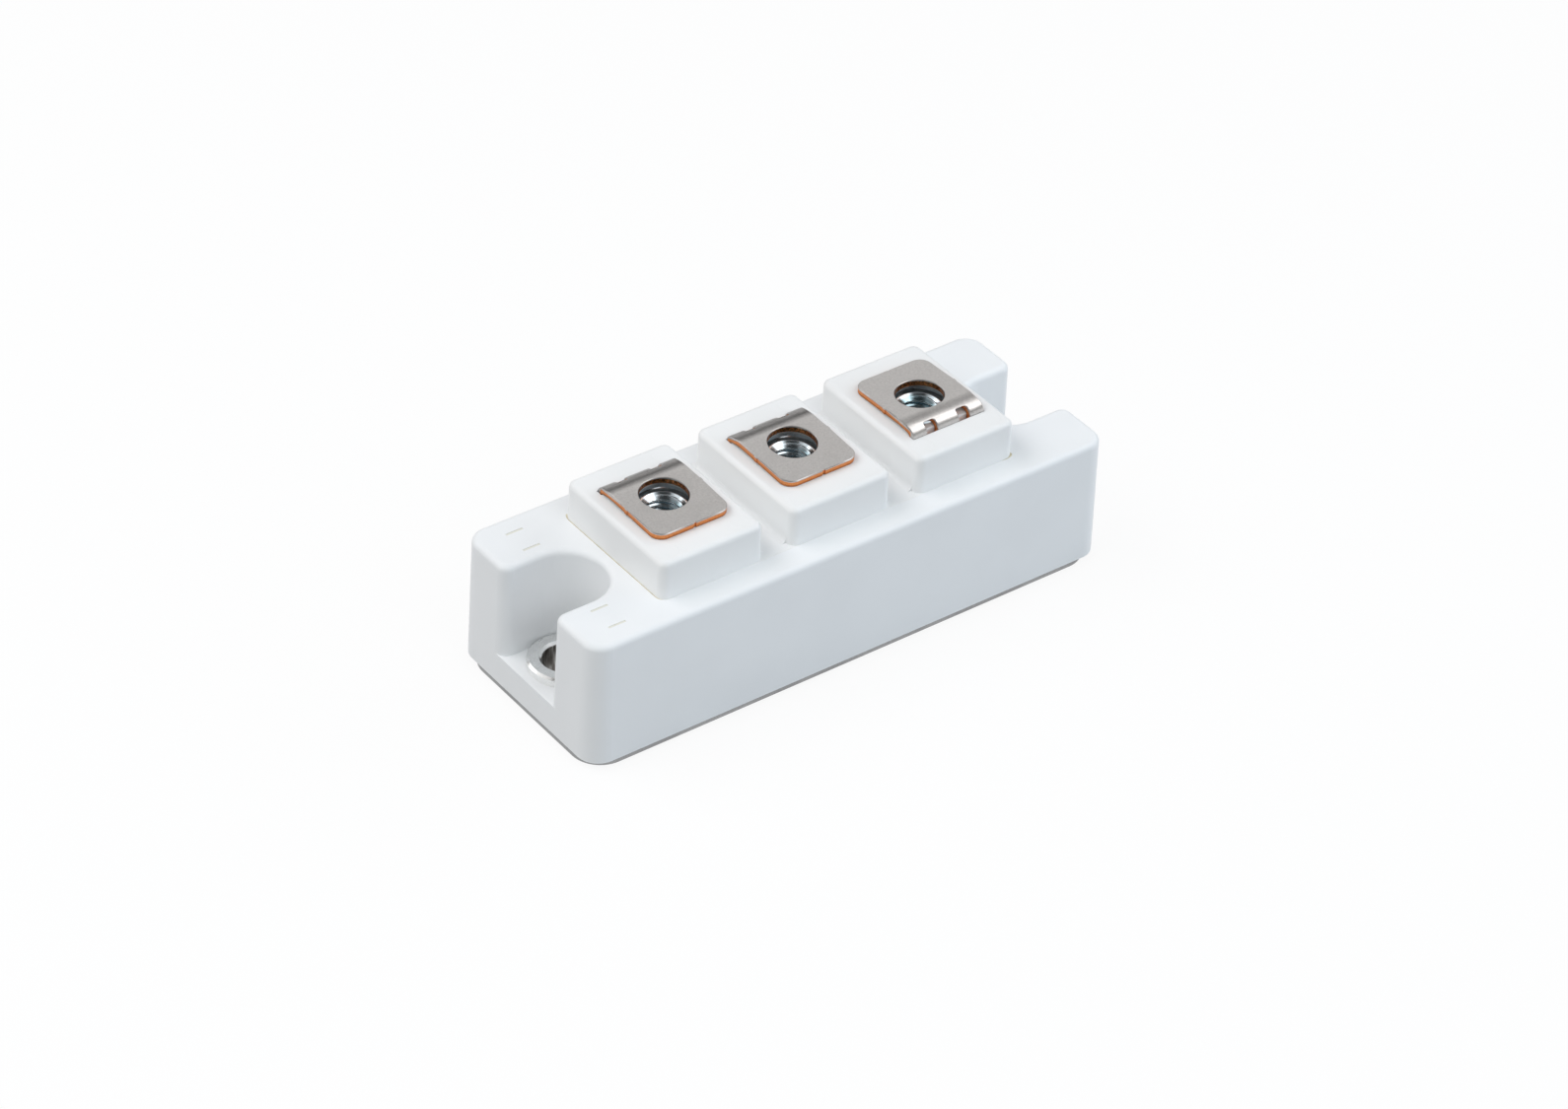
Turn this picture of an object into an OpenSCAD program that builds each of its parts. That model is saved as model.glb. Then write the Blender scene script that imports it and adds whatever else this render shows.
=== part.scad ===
// Fast recovery diode module: a flat moulded package on a metal base plate,
// with a screw slot at each end and three bent screw terminals on pedestals.
// X runs along the package, +Y to its back, +Z up.
// The origin is the centre of the mounting face, below the base plate.

/* [Package] */
// Height of the housing's flat top above the mounting face
top_z = 22.2; // [20:0.1:28]
// Height of the housing's lower edge above the mounting face
skirt_z = 1.4; // [0.6:0.1:2.4]
// Width of the housing at its lower edge
housing_w = 34; // [33:0.5:44]
// Radius of the housing's upright corners
housing_corner_r = 3.5; // [2.5:0.1:5]
// How far each side of the housing leans in over its height
housing_draft = 0.4; // [0.1:0.05:0.6]
// Rounding of the housing's top edges
housing_round = 1; // [0.4:0.1:1.4]
// Thickness of the housing's walls
wall_t = 2; // [1.4:0.1:2.4]
// Thickness of the housing's roof
roof_t = 1.8; // [1.2:0.1:2.4]

/* [End slots] */
// Width of a screw slot at the housing's lower edge
slot_w = 11.6; // [11.4:0.1:15]
// Height of the slot floor above the mounting face
slot_floor_z = 6.2; // [5:0.1:8]
// Web between a slot and the terminal block's window
slot_web = 2; // [1.8:0.05:4]
// Distance from a mounting screw's axis to the end of the housing
slot_end = 7; // [6.6:0.1:9]
// Rounding of the slot's upright edges at its mouth
mouth_r = 2; // [1.9:0.1:3]

/* [Tab slits] */
// Length of a blanked slit for an auxiliary tab
slit_l = 2.9; // [2:0.1:4]
// Width of a slit
slit_w = 0.4; // [0.2:0.1:0.8]
// Depth of a slit
slit_depth = 0.1; // [0.1:0.1:1]
// Distance of the slits from the mounting screw's axis, towards the end
slit_out = 0.25; // [0:0.05:1]
// Distance from the middle of the package to the inner slits
slit_near_y = 8.5; // [8.2:0.1:9.5]
// Distance between the two slits on one prong
slit_pitch = 4.4; // [2:0.1:5]

/* [Base plate] */
// Thickness of the base plate
plate_t = 3; // [2.6:0.1:4]
// How far the plate's ends stand inside the housing's ends
plate_end_inset = 0.5; // [0.4:0.1:1.2]
// How far the plate's sides stand inside the housing's sides
plate_side_inset = 0.7; // [0.4:0.1:1.2]
// Radius of the plate's corners
plate_corner_r = 4.8; // [1:0.1:5]
// Gap between the plate's edge and the housing's rim
plate_gap = 0.1; // [0.05:0.05:0.3]
// Thickness of the adhesive between plate and housing
base_seal_t = 0.15; // [0.1:0.05:0.4]
// Distance of the adhesive frame from the edges of the wall it lies under
base_seal_inset = 0.2; // [0.1:0.05:0.4]

/* [Mounting bushes] */
// Bore for the mounting screw
bush_bore_d = 6.6; // [5.3:0.1:6.8]
// Wall of the bush below its flange
bush_wall = 0.95; // [0.6:0.05:1.1]
// Diameter of the flange
bush_flange_d = 11.2; // [10.6:0.1:11.2]
// Thickness of the flange
bush_flange_t = 1.5; // [0.8:0.1:1.8]
// Chamfer at the mouth of the bore
bush_mouth = 0.45; // [0.2:0.05:0.7]
// Chamfer round the flange
bush_edge = 0.35; // [0.1:0.05:0.5]
// Radial flare of the swaged lower end
bush_flare = 0.8; // [0.3:0.1:1.2]
// Clearance round the bush
bush_clear = 0.1; // [0.05:0.05:0.3]
// Setback of the swaged end from the mounting face
bush_setback = 0.1; // [0.05:0.05:0.3]

/* [Terminal block] */
// Distance between neighbouring terminals
terminal_pitch = 23; // [22:0.5:28]
// Width of a pedestal along the package
pedestal_w = 18.1; // [17:0.1:20]
// Distance from the housing's long sides, at its lower edge, to the pedestals
block_margin = 4.8; // [4:0.1:5.2]
// Height of the pedestals above the housing's top
pedestal_h = 6.3; // [5.8:0.1:9]
// Radius of a pedestal's upright corners
pedestal_corner_r = 1.4; // [1.1:0.1:2]
// How far each side of a pedestal leans in over its height
pedestal_draft = 0.1; // [0.05:0.05:0.2]
// Rounding of a pedestal's top edges
pedestal_round = 0.9; // [0.3:0.1:0.9]
// Fillet at the foot of the pedestals, in the valleys
valley_r = 0.9; // [0.3:0.1:1.5]
// Wall of the hollow pedestals
pedestal_wall = 1.6; // [1.2:0.1:1.9]
// Thickness of a pedestal's top
pedestal_lid = 2; // [1.4:0.1:3]
// Thickness of the flange below the housing's roof
flange_t = 1.8; // [1:0.1:2.5]
// Seam between the block and the housing's window
seam_gap = 0.15; // [0.05:0.05:0.3]
// Thickness of the adhesive between flange and roof
block_seal_t = 0.1; // [0.05:0.05:0.3]
// Clearance of the adhesive from the edges of the flange
block_seal_inset = 0.3; // [0.1:0.1:0.6]

/* [Nuts] */
// Width of a nut across its flats
nut_af = 10; // [8:0.1:10.4]
// Height of a nut
nut_h = 5; // [4:0.1:6]
// Bore of a nut at the crests of its thread
nut_bore_d = 5; // [4:0.1:5.4]
// Diameter of the countersink at both ends of the bore
nut_mouth_d = 6.75; // [5.6:0.05:7.4]
// Chamfer that rounds off the nut's corners, measured along its axis
nut_chamfer = 0.45; // [0.2:0.05:0.8]
// Clearance across the flats of the pocket
nut_clear = 0.2; // [0.1:0.05:0.4]
// Depth of the nut's top below the pedestal's top
nut_drop = 0.8; // [0.2:0.1:1.6]
// Wall of the boss round the pocket
boss_wall = 1.2; // [1:0.1:1.4]
// Depth of the screw well below the nut
well_depth = 9; // [5:0.5:9.5]
// Diameter of the screw well
well_d = 6.8; // [6.6:0.1:7.4]

/* [Terminals] */
// Thickness of the terminal strip
strip_t = 1; // [0.8:0.05:1.2]
// Width of a terminal pad
pad_w = 13.2; // [11:0.1:13.6]
// Hole for the terminal screw
pad_hole_d = 7.4; // [6.4:0.1:8]
// Distance from the screw's axis to the pad's free end
pad_front = 7.7; // [6:0.05:9]
// Distance from the screw's axis to the outer face of the bent leg
pad_back = 7.25; // [7:0.05:7.6]
// Offset of the screw's axis from the middle of the block, towards the leg
screw_y = 0.35; // [0:0.05:0.6]
// Outer radius of the long bend next to the pad
bend_r = 10; // [8:0.5:12]
// Outer radius of the tight bend next to the leg
leg_bend_r = 1.6; // [1.5:0.1:2]
// Slope of the pad, down to its free end, in degrees
pad_tilt = 2.4; // [0:0.2:4]
// Gap between the free end and the pedestal
pad_gap = 0.05; // [0.02:0.01:0.2]
// Radius of the pad's free corners
pad_corner_r = 2; // [0.5:0.1:3]
// Width of a window in the tight bend
window_w = 2; // [1.5:0.1:2.6]
// Length of a window round the bend
window_l = 2.1; // [1.6:0.1:2.3]
// Radius of a window's corners
window_corner_r = 0.4; // [0.1:0.05:0.5]
// Angle of a window's middle round the bend, from the leg's side up, in degrees
window_angle = 40; // [35:1:45]
// Distance of a window from the middle of the pad
window_x = 3; // [2.4:0.1:3.8]
// Width of the shear nick in the free end
nick_w = 0.5; // [0.3:0.1:1]
// Depth of the shear nick
nick_depth = 0.35; // [0.2:0.05:0.6]
// Length of the tie-bar stub on the pad's sides
stub_l = 0.6; // [0.4:0.1:2]
// How far a tie-bar stub stands out
stub_out = 0.1; // [0.06:0.02:0.24]
// Play of a leg in its slot
leg_clear = 0.05; // [0.05:0.05:0.25]
// Extra opening of the slot on the inner side of the bend
leg_relief = 0.1; // [0.05:0.05:0.2]
// Overlap of the wide and the narrow part of a leg
leg_lap = 0.5; // [0.2:0.1:1]
// Width of a leg inside the housing
leg_w = 4.6; // [3:0.1:5]
// Length of a foot on the circuit
foot_l = 4; // [2.5:0.1:4.2]
// Outer radius of the bend at a foot
foot_bend_r = 1.6; // [1.3:0.1:2.2]

/* [Circuit] */
// Thickness of the solder under a substrate
solder_t = 0.2; // [0.1:0.05:0.4]
// Thickness of the copper foils
foil_t = 0.3; // [0.2:0.05:0.5]
// Thickness of the ceramic sheets
ceramic_t = 0.64; // [0.38:0.02:1]
// Gap between the two substrates
substrate_gap = 2; // [1:0.1:3]
// Gap between the substrates and the housing's walls
substrate_margin = 1.6; // [0.8:0.1:2.4]
// Bare rim of the ceramic round its foils
foil_rim = 0.6; // [0.4:0.05:1]
// Gap between neighbouring copper islands
island_gap = 0.8; // [0.5:0.05:1]
// Width of the narrow island on the right substrate
bus_w = 4.6; // [3.4:0.1:4.8]
// Edge length of a chip
chip_l = 7; // [5:0.1:7.4]
// Thickness of a chip
chip_t = 0.35; // [0.2:0.05:0.5]
// Distance between neighbouring chips
chip_pitch = 8.5; // [7.8:0.1:9]
// Thickness of the solder under chips and feet
joint_t = 0.1; // [0.05:0.01:0.2]
// Distance of a chip or wire from the nearest edge of its island
place_edge = 1.4; // [0.4:0.1:1.6]
// Distance of a terminal's foot from the nearest edge of its island
foot_edge = 0.2; // [0.1:0.05:0.25]
// Diameter of a bond wire
wire_d = 0.3; // [0.2:0.05:0.4]
// Distance between neighbouring bond wires
wire_pitch = 1.4; // [1:0.1:1.6]
// Height of the gel above the base plate
gel_h = 8; // [5:0.5:8.5]

/* [Hidden] */
$fn = 64;

// Overlap of a cutter past the face that it cuts
past = 1;

// Lengths that follow from the terminals outwards
block_l = 2 * terminal_pitch + pedestal_w;
block_d = housing_w - 2 * block_margin;
cavity_x = block_l / 2 + seam_gap;
slot_r = slot_w / 2;
mount_x = cavity_x + slot_web + slot_r;
housing_l = 2 * (mount_x + slot_end);
terminal_xs = [-terminal_pitch, 0, terminal_pitch];

// Widths and heights of the housing
cavity_y = housing_w / 2 - wall_t;
roof_z = top_z - roof_t;
recess_z = plate_t + base_seal_t;
corner_x = housing_l / 2 - housing_corner_r;
corner_y = housing_w / 2 - housing_corner_r;
mouth_x = housing_l / 2 - mouth_r;
mouth_y = slot_r + mouth_r;

// Base plate and bushes
plate_x = housing_l / 2 - plate_end_inset;
plate_y = housing_w / 2 - plate_side_inset;
shank_r = bush_bore_d / 2 + bush_wall;

// Terminal block and nuts
pedestal_z = top_z + pedestal_h;
flange_z = roof_z - block_seal_t;
nut_z = pedestal_z - nut_drop - nut_h;
well_z = nut_z - well_depth;
pocket_af = nut_af + nut_clear;
boss_r = pocket_af / sqrt(3) + boss_wall;
well_wall = boss_wall;

// Terminals: the upper strip leans by the pad's slope about the leg's outer face at shoulder height.
// From there, pad_reach leads in to the free end and strip_rise up to the pad's underside.
shoulder_z = flange_z - flange_t;
leg_y = whole_um(screw_y + pad_back + (pedestal_z - shoulder_z) * tan(pad_tilt));
free_y = leg_y - screw_y + pad_front;
free_z = pedestal_z + pad_gap - shoulder_z;
pad_reach = whole_um(free_y * cos(pad_tilt) - free_z * sin(pad_tilt));
strip_rise = whole_um(free_y * sin(pad_tilt) + free_z * cos(pad_tilt));
strip_top = strip_rise + strip_t;
hole_reach = whole_um((leg_y - screw_y) * cos(pad_tilt) - free_z * sin(pad_tilt));

// The long bend turns by the smallest angle of a triangle with sides 7, 24 and 25, the tight bend by the rest.
// Their axes stand a distance in from the leg's outer face and up from the shoulder.
long_axis = [-leg_bend_r - (bend_r - leg_bend_r) * 0.28, strip_top - bend_r];
tight_axis = [-leg_bend_r, long_axis[1] + (bend_r - leg_bend_r) * 0.96];
long_sector = [[0, 0], [7, 24], [0, 24]];
tight_sector = [[0, 0], [24, 0], [24, 24], [7, 24]];

// A length to the nearest whole micrometre, so that sloped parts meet level ones exactly
function whole_um(length) = round(1000 * length) / 1000;

// Place of terminal i's foot, in the frame where its leg is at the back
function foot_x(i) = (foot_xs[i] - terminal_xs[i]) * (i == 2 ? -1 : 1);

// Layers of the circuit, from the base plate up
foil_z = plate_t + solder_t;
ceramic_z = foil_z + foil_t;
circuit_z = ceramic_z + ceramic_t;
joint_z = circuit_z + foil_t;
part_z = joint_z + joint_t;
chip_top_z = part_z + chip_t;
gel_z = plate_t + gel_h;

// Outlines of the substrates and their copper islands
substrate_x0 = substrate_gap / 2;
substrate_x1 = cavity_x - substrate_margin;
substrate_y = cavity_y - substrate_margin;
island_x0 = substrate_x0 + foil_rim;
island_x1 = substrate_x1 - foil_rim;
island_y = substrate_y - foil_rim;
feet_in_y = leg_y - foot_l;
bus_y1 = feet_in_y - place_edge - island_gap;
bus_y0 = bus_y1 - bus_w;
left_split_y = bus_y0 - place_edge;

// Places of the chips, the feet and the wire ends
foot_xs = [-terminal_pitch, island_x0 + foot_edge + leg_w / 2, terminal_pitch];
chip_first_x = [-(island_x0 + place_edge + chip_l / 2), foot_xs[1] + leg_w / 2 + place_edge + chip_l / 2];
left_chip_y = left_split_y + place_edge + chip_l / 2;
right_chip_y = island_y - place_edge - chip_l / 2;
chips = [
    [chip_first_x[0] - chip_pitch, left_chip_y],
    [chip_first_x[0], left_chip_y],
    [chip_first_x[1], right_chip_y],
    [chip_first_x[1] + chip_pitch, right_chip_y]
];
wires_per_chip = 4;
wire_foot = [1.6 * wire_d, 2.8 * wire_d, 1.2 * wire_d];
wire_arc = 55;
left_bond_y = left_split_y - island_gap - 2 * place_edge;
right_bond_y = (bus_y0 + bus_y1) / 2;
link_x = island_x0 + wire_foot[1];
bus_link_ys = [bus_y0 + place_edge, bus_y0 + place_edge + wire_pitch];
rail_link_ys = [for (i = [0 : 2]) -island_y + place_edge + i * wire_pitch];

// Rectangle with round corners, centred
module rounded_rect(half_x, half_y, r) {
    square([2 * (half_x - r), 2 * half_y], center = true);
    square([2 * half_x, 2 * (half_y - r)], center = true);
    for (sx = [-1, 1])
        for (sy = [-1, 1])
            translate([sx * (half_x - r), sy * (half_y - r)])
                circle(r);
}

// Section of a moulded edge: a leaning wall that rounds over into a flat top.
// The section's own axis is at zero, and the wall starts a distance r from it.
module edge_section(r, z0, z1, draft, round_r) {
    round_x = r - draft - round_r;
    round_z = z1 - round_r;
    polygon([[0, z0], [r, z0], [r - draft, round_z], [round_x, round_z], [round_x, z1], [0, z1]]);
    intersection() {
        translate([round_x, round_z])
            circle(round_r);
        translate([round_x, round_z])
            square(round_r);
    }
}

// A section carried along Y, centred, with its outer side to +X
module edge_bar(length) {
    translate([0, length / 2, 0])
        rotate([90, 0, 0])
            linear_extrude(length)
                children();
}

// The housing's edge section on a given radius
module housing_edge(r) {
    edge_section(r, skirt_z, top_z, housing_draft, housing_round);
}

// One of the two prongs beside a slot, in the quadrant of +X and +Y
module prong() {
    translate([corner_x, corner_y, 0])
        rotate_extrude(angle = 90)
            housing_edge(housing_corner_r);
    translate([corner_x, (corner_y + mouth_y) / 2, 0])
        edge_bar(corner_y - mouth_y)
            housing_edge(housing_corner_r);
    translate([mouth_x, mouth_y, 0])
        rotate([0, 0, -90])
            rotate_extrude(angle = 90)
                housing_edge(mouth_r);
    translate([(mount_x + mouth_x) / 2, mouth_y, 0])
        rotate([0, 0, -90])
            edge_bar(mouth_x - mount_x)
                housing_edge(mouth_r);
    translate([mount_x, mouth_y, skirt_z])
        cube([corner_x - mount_x, corner_y - mouth_y, top_z - skirt_z]);
}

// Round end of a slot, leaning out and flared where its top edge is rounded
module slot_end_cutter() {
    wall_x = slot_r + housing_draft;
    round_x = wall_x + housing_round;
    round_z = top_z - housing_round;
    rotate_extrude()
        difference() {
            polygon([
                [0, skirt_z], [slot_r, skirt_z], [wall_x, round_z],
                [round_x, round_z], [round_x, top_z + past], [0, top_z + past]
            ]);
            translate([round_x, round_z])
                circle(housing_round);
            square([slot_r + housing_draft, slot_floor_z]);
        }
}

// Floor of a slot, with its leaning end face
module slot_floor() {
    translate([corner_x, 0, 0])
        edge_bar(2 * mouth_y)
            intersection() {
                translate([mount_x - corner_x, skirt_z])
                    square([corner_x - mount_x + housing_corner_r, slot_floor_z - skirt_z]);
                polygon([
                    [mount_x - corner_x, skirt_z], [housing_corner_r, skirt_z],
                    [housing_corner_r - housing_draft, top_z - housing_round],
                    [mount_x - corner_x, top_z - housing_round]
                ]);
            }
}

// The outside of the housing, with both slots open
module housing_outside() {
    difference() {
        translate([-mount_x, -corner_y, skirt_z])
            cube([2 * mount_x, 2 * corner_y, top_z - skirt_z]);
        for (s = [-1, 1])
            translate([s * mount_x, 0, 0])
                slot_end_cutter();
    }
    for (turn = [90, -90])
        rotate([0, 0, turn])
            translate([corner_y, 0, 0])
                edge_bar(2 * corner_x)
                    housing_edge(housing_corner_r);
    for (mx = [0, 1])
        mirror([mx, 0, 0]) {
            slot_floor();
            for (my = [0, 1])
                mirror([0, my, 0])
                    prong();
        }
}

// Hollow inside one prong, cored from below
module prong_core() {
    x0 = cavity_x + wall_t;
    x1 = housing_l / 2 - wall_t;
    y0 = slot_r + housing_draft + wall_t;
    translate([x0, y0, 0])
        cube([x1 - x0, cavity_y - y0, roof_z]);
}

// Blanked slit in the left end of the housing's top
module tab_slit(y) {
    translate([-mount_x - slit_out - slit_l / 2, y - slit_w / 2, top_z - slit_depth])
        cube([slit_l, slit_w, slit_depth + past]);
}

// Moulded case
module housing() {
    color("whitesmoke")
        difference() {
            housing_outside();
            translate([-cavity_x, -cavity_y, 0])
                cube([2 * cavity_x, 2 * cavity_y, roof_z]);
            linear_extrude(top_z + past)
                rounded_rect(cavity_x, block_d / 2 + seam_gap, pedestal_corner_r + seam_gap);
            linear_extrude(recess_z)
                rounded_rect(plate_x + plate_gap, plate_y + plate_gap, plate_corner_r + plate_gap);
            for (mx = [0, 1])
                mirror([mx, 0, 0]) {
                    translate([mount_x, 0, 0])
                        cylinder(r = shank_r + bush_clear, h = slot_floor_z + past);
                    for (my = [0, 1])
                        mirror([0, my, 0])
                            prong_core();
                }
            for (sy = [-1, 1])
                for (i = [0, 1])
                    tab_slit(sy * (slit_near_y + i * slit_pitch));
        }
}

// Swaged end of a bush, wider by grow all round
module bush_swage(grow) {
    cylinder(
        r1 = shank_r + bush_flare + bush_setback + grow,
        r2 = shank_r + grow,
        h = bush_flare + bush_setback
    );
}

// Plated copper plate under everything
module base_plate() {
    color("silver")
        difference() {
            linear_extrude(plate_t)
                rounded_rect(plate_x, plate_y, plate_corner_r);
            for (s = [-1, 1])
                translate([s * mount_x, 0, 0]) {
                    translate([0, 0, -past])
                        cylinder(r = shank_r + bush_clear, h = plate_t + 2 * past);
                    bush_swage(bush_clear);
                }
        }
}

// Hollow rivets that hold the housing to the base plate and take the mounting screws
module mounting_bushes() {
    bore_r = bush_bore_d / 2;
    flange_r = bush_flange_d / 2;
    top = slot_floor_z + bush_flange_t;
    swage_z = bush_setback + bush_flare;
    color("gainsboro")
        for (s = [-1, 1])
            translate([s * mount_x, 0, 0])
                rotate_extrude()
                    polygon([
                        [bore_r, bush_setback], [shank_r + bush_flare, bush_setback], [shank_r, swage_z],
                        [shank_r, slot_floor_z], [flange_r, slot_floor_z], [flange_r, top - bush_edge],
                        [flange_r - bush_edge, top], [bore_r + bush_mouth, top], [bore_r, top - bush_mouth]
                    ]);
}

// Adhesive frame between the base plate and the housing's walls
module base_seal() {
    x_in = cavity_x + base_seal_inset;
    y_in = cavity_y + base_seal_inset;
    x_out = cavity_x + wall_t - base_seal_inset;
    y_out = plate_y - base_seal_inset;
    color("ivory")
        translate([0, 0, plate_t])
            linear_extrude(base_seal_t)
                difference() {
                    square([2 * x_out, 2 * y_out], center = true);
                    square([2 * x_in, 2 * y_in], center = true);
                }
}

// Round-edged pedestal under one terminal
module pedestal() {
    half_x = pedestal_w / 2 - pedestal_corner_r;
    half_y = block_d / 2 - pedestal_corner_r;
    translate([-half_x, -half_y, top_z])
        cube([2 * half_x, 2 * half_y, pedestal_h]);
    for (turn = [0, 180])
        rotate([0, 0, turn]) {
            translate([half_x, 0, 0])
                edge_bar(2 * half_y)
                    pedestal_edge();
            translate([0, half_y, 0])
                rotate([0, 0, 90])
                    edge_bar(2 * half_x)
                        pedestal_edge();
            translate([half_x, half_y, 0])
                rotate_extrude(angle = 90)
                    pedestal_edge();
            translate([-half_x, half_y, 0])
                rotate([0, 0, 90])
                    rotate_extrude(angle = 90)
                        pedestal_edge();
        }
}

// The pedestals' edge section
module pedestal_edge() {
    edge_section(pedestal_corner_r, top_z, pedestal_z, pedestal_draft, pedestal_round);
}

// Fillet in a valley, along the foot of a pedestal's +X side
module valley_fillet() {
    translate([pedestal_w / 2, 0, 0])
        edge_bar(block_d - 2 * pedestal_corner_r)
            difference() {
                translate([-pedestal_draft, top_z])
                    square([valley_r + pedestal_draft, valley_r]);
                translate([valley_r, top_z + valley_r])
                    circle(valley_r);
            }
}

// Boss with the nut's pocket, drawn without its hollows
module nut_boss() {
    translate([0, screw_y, nut_z - boss_wall])
        cylinder(r = boss_r, h = pedestal_z - pedestal_lid - nut_z + boss_wall);
    translate([0, screw_y, well_z - well_wall])
        cylinder(d = well_d + 2 * well_wall, h = nut_z - well_z + well_wall);
}

// Nut pocket, screw well and leg slot of one terminal
module terminal_hollows() {
    translate([0, screw_y, nut_z])
        cylinder(r = pocket_af / sqrt(3), h = pedestal_z, $fn = 6);
    translate([0, screw_y, well_z])
        cylinder(d = well_d, h = nut_z);
    leaning_strip()
        bent_leg(pad_w + 2 * leg_clear, leg_relief, leg_clear, past);
}

// Turns a shape made for a leg at the back so that it fits terminal i
module at_terminal(i) {
    translate([terminal_xs[i], 0, 0])
        rotate([0, 0, i == 2 ? 180 : 0])
            children();
}

// Second moulding, with the three pedestals, held under the housing's roof by a flange
module terminal_block() {
    core_x = pedestal_w / 2 - pedestal_wall;
    core_y = block_d / 2 - pedestal_wall;
    core_z = pedestal_z - pedestal_lid;
    color("white")
        difference() {
            union() {
                difference() {
                    union() {
                        translate([0, 0, shoulder_z])
                            linear_extrude(top_z - shoulder_z)
                                rounded_rect(block_l / 2, block_d / 2, pedestal_corner_r);
                        translate([-block_l / 2, -cavity_y + seam_gap, shoulder_z])
                            cube([block_l, 2 * (cavity_y - seam_gap), flange_t]);
                        for (x = terminal_xs)
                            translate([x, 0, 0])
                                pedestal();
                        for (x = [-terminal_pitch, 0])
                            translate([x, 0, 0])
                                valley_fillet();
                        for (x = [0, terminal_pitch])
                            translate([x, 0, 0])
                                mirror([1, 0, 0])
                                    valley_fillet();
                    }
                    for (x = terminal_xs)
                        translate([x - core_x, -core_y, shoulder_z - past])
                            cube([2 * core_x, 2 * core_y, core_z - shoulder_z + past]);
                }
                for (i = [0 : 2])
                    at_terminal(i)
                        nut_boss();
            }
            for (i = [0 : 2])
                at_terminal(i)
                    terminal_hollows();
        }
}

// Adhesive on the block's flange, below the housing's roof
module block_seal() {
    y_in = block_d / 2 + seam_gap + block_seal_inset;
    y_out = cavity_y - seam_gap - block_seal_inset;
    half_x = block_l / 2 - block_seal_inset;
    color("khaki")
        for (my = [0, 1])
            mirror([0, my, 0])
                translate([-half_x, y_in, flange_z])
                    cube([2 * half_x, y_out - y_in, block_seal_t]);
}

// Captive hexagon nuts, countersunk at both ends
module terminal_nuts() {
    corner_r = nut_af / sqrt(3);
    flat_r = nut_af / 2;
    cone_r = flat_r + nut_h * (corner_r - flat_r) / nut_chamfer;
    sink = (nut_mouth_d - nut_bore_d) / 2;
    color("lightsteelblue")
        for (i = [0 : 2])
            at_terminal(i)
                translate([0, screw_y, nut_z])
                    difference() {
                        intersection() {
                            cylinder(r = corner_r, h = nut_h, $fn = 6);
                            cylinder(r1 = flat_r, r2 = cone_r, h = nut_h);
                            cylinder(r1 = cone_r, r2 = flat_r, h = nut_h);
                        }
                        translate([0, 0, -past])
                            cylinder(d = nut_bore_d, h = nut_h + 2 * past);
                        cylinder(d1 = nut_mouth_d, d2 = nut_bore_d, h = sink);
                        translate([0, 0, nut_h - sink])
                            cylinder(d1 = nut_bore_d, d2 = nut_mouth_d, h = sink);
                    }
}

// Outline of a pad from the bend to its free end, measured from the leg's outer face
module pad_outline() {
    half = pad_w / 2;
    corner_y = -pad_reach + pad_corner_r;
    difference() {
        union() {
            translate([-half, corner_y])
                square([pad_w, long_axis[0] - corner_y]);
            translate([-half + pad_corner_r, -pad_reach])
                square([pad_w - 2 * pad_corner_r, pad_reach + long_axis[0]]);
            for (s = [-1, 1])
                translate([s * (half - pad_corner_r), corner_y])
                    circle(pad_corner_r);
            translate([-half - stub_out, -hole_reach - stub_l / 2])
                square([pad_w + 2 * stub_out, stub_l]);
        }
        translate([-nick_w / 2, -pad_reach - past])
            square([nick_w, nick_depth + past]);
    }
}

// Part of a strip's bend about an axis along X, angles counted from +Y towards +Z
module strip_bend(width, inner_r, outer_r, from, sweep) {
    rotate([90, 0, 90])
        rotate([0, 0, from])
            translate([0, 0, -width / 2])
                rotate_extrude(angle = sweep)
                    translate([inner_r, 0])
                        square([outer_r - inner_r, width]);
}

// Part of a strip's bend about an axis along X, within a sector drawn over Y and Z
module ring_sector(width, inner_r, outer_r, sector) {
    rotate([90, 0, 90])
        translate([0, 0, -width / 2])
            linear_extrude(width)
                intersection() {
                    difference() {
                        circle(outer_r);
                        circle(inner_r);
                    }
                    polygon(sector);
                }
}

// Wide part of a leg with its two bends up to the pad.
// It is thicker on its inner and its outer side by the given amounts, and starts a drop below the shoulder.
module bent_leg(width, inside, outside, drop) {
    translate([-width / 2, -strip_t - inside, -drop])
        cube([width, strip_t + inside + outside, tight_axis[1] + drop]);
    translate([0, tight_axis[0], tight_axis[1]])
        ring_sector(width, leg_bend_r - strip_t - inside, leg_bend_r + outside, tight_sector);
    translate([0, long_axis[0], long_axis[1]])
        ring_sector(width, bend_r - strip_t - inside, bend_r + outside, long_sector);
}

// Frame of the leaning upper strip: its origin is the leg's outer face at shoulder height
module leaning_strip() {
    translate([0, leg_y, shoulder_z])
        rotate([pad_tilt, 0, 0])
            children();
}

// Pad and bent leg, with the screw hole and the two windows in the tight bend
module upper_strip() {
    difference() {
        union() {
            translate([0, 0, strip_rise])
                linear_extrude(strip_t)
                    pad_outline();
            bent_leg(pad_w, 0, 0, leg_lap);
        }
        translate([0, -hole_reach, strip_rise - past])
            cylinder(d = pad_hole_d, h = strip_t + 2 * past);
        for (s = [-1, 1])
            translate([s * window_x, tight_axis[0], tight_axis[1]])
                rotate([window_angle - 90, 0, 0])
                    linear_extrude(leg_bend_r + past)
                        rounded_rect(window_w / 2, window_l / 2, window_corner_r);
    }
}

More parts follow.
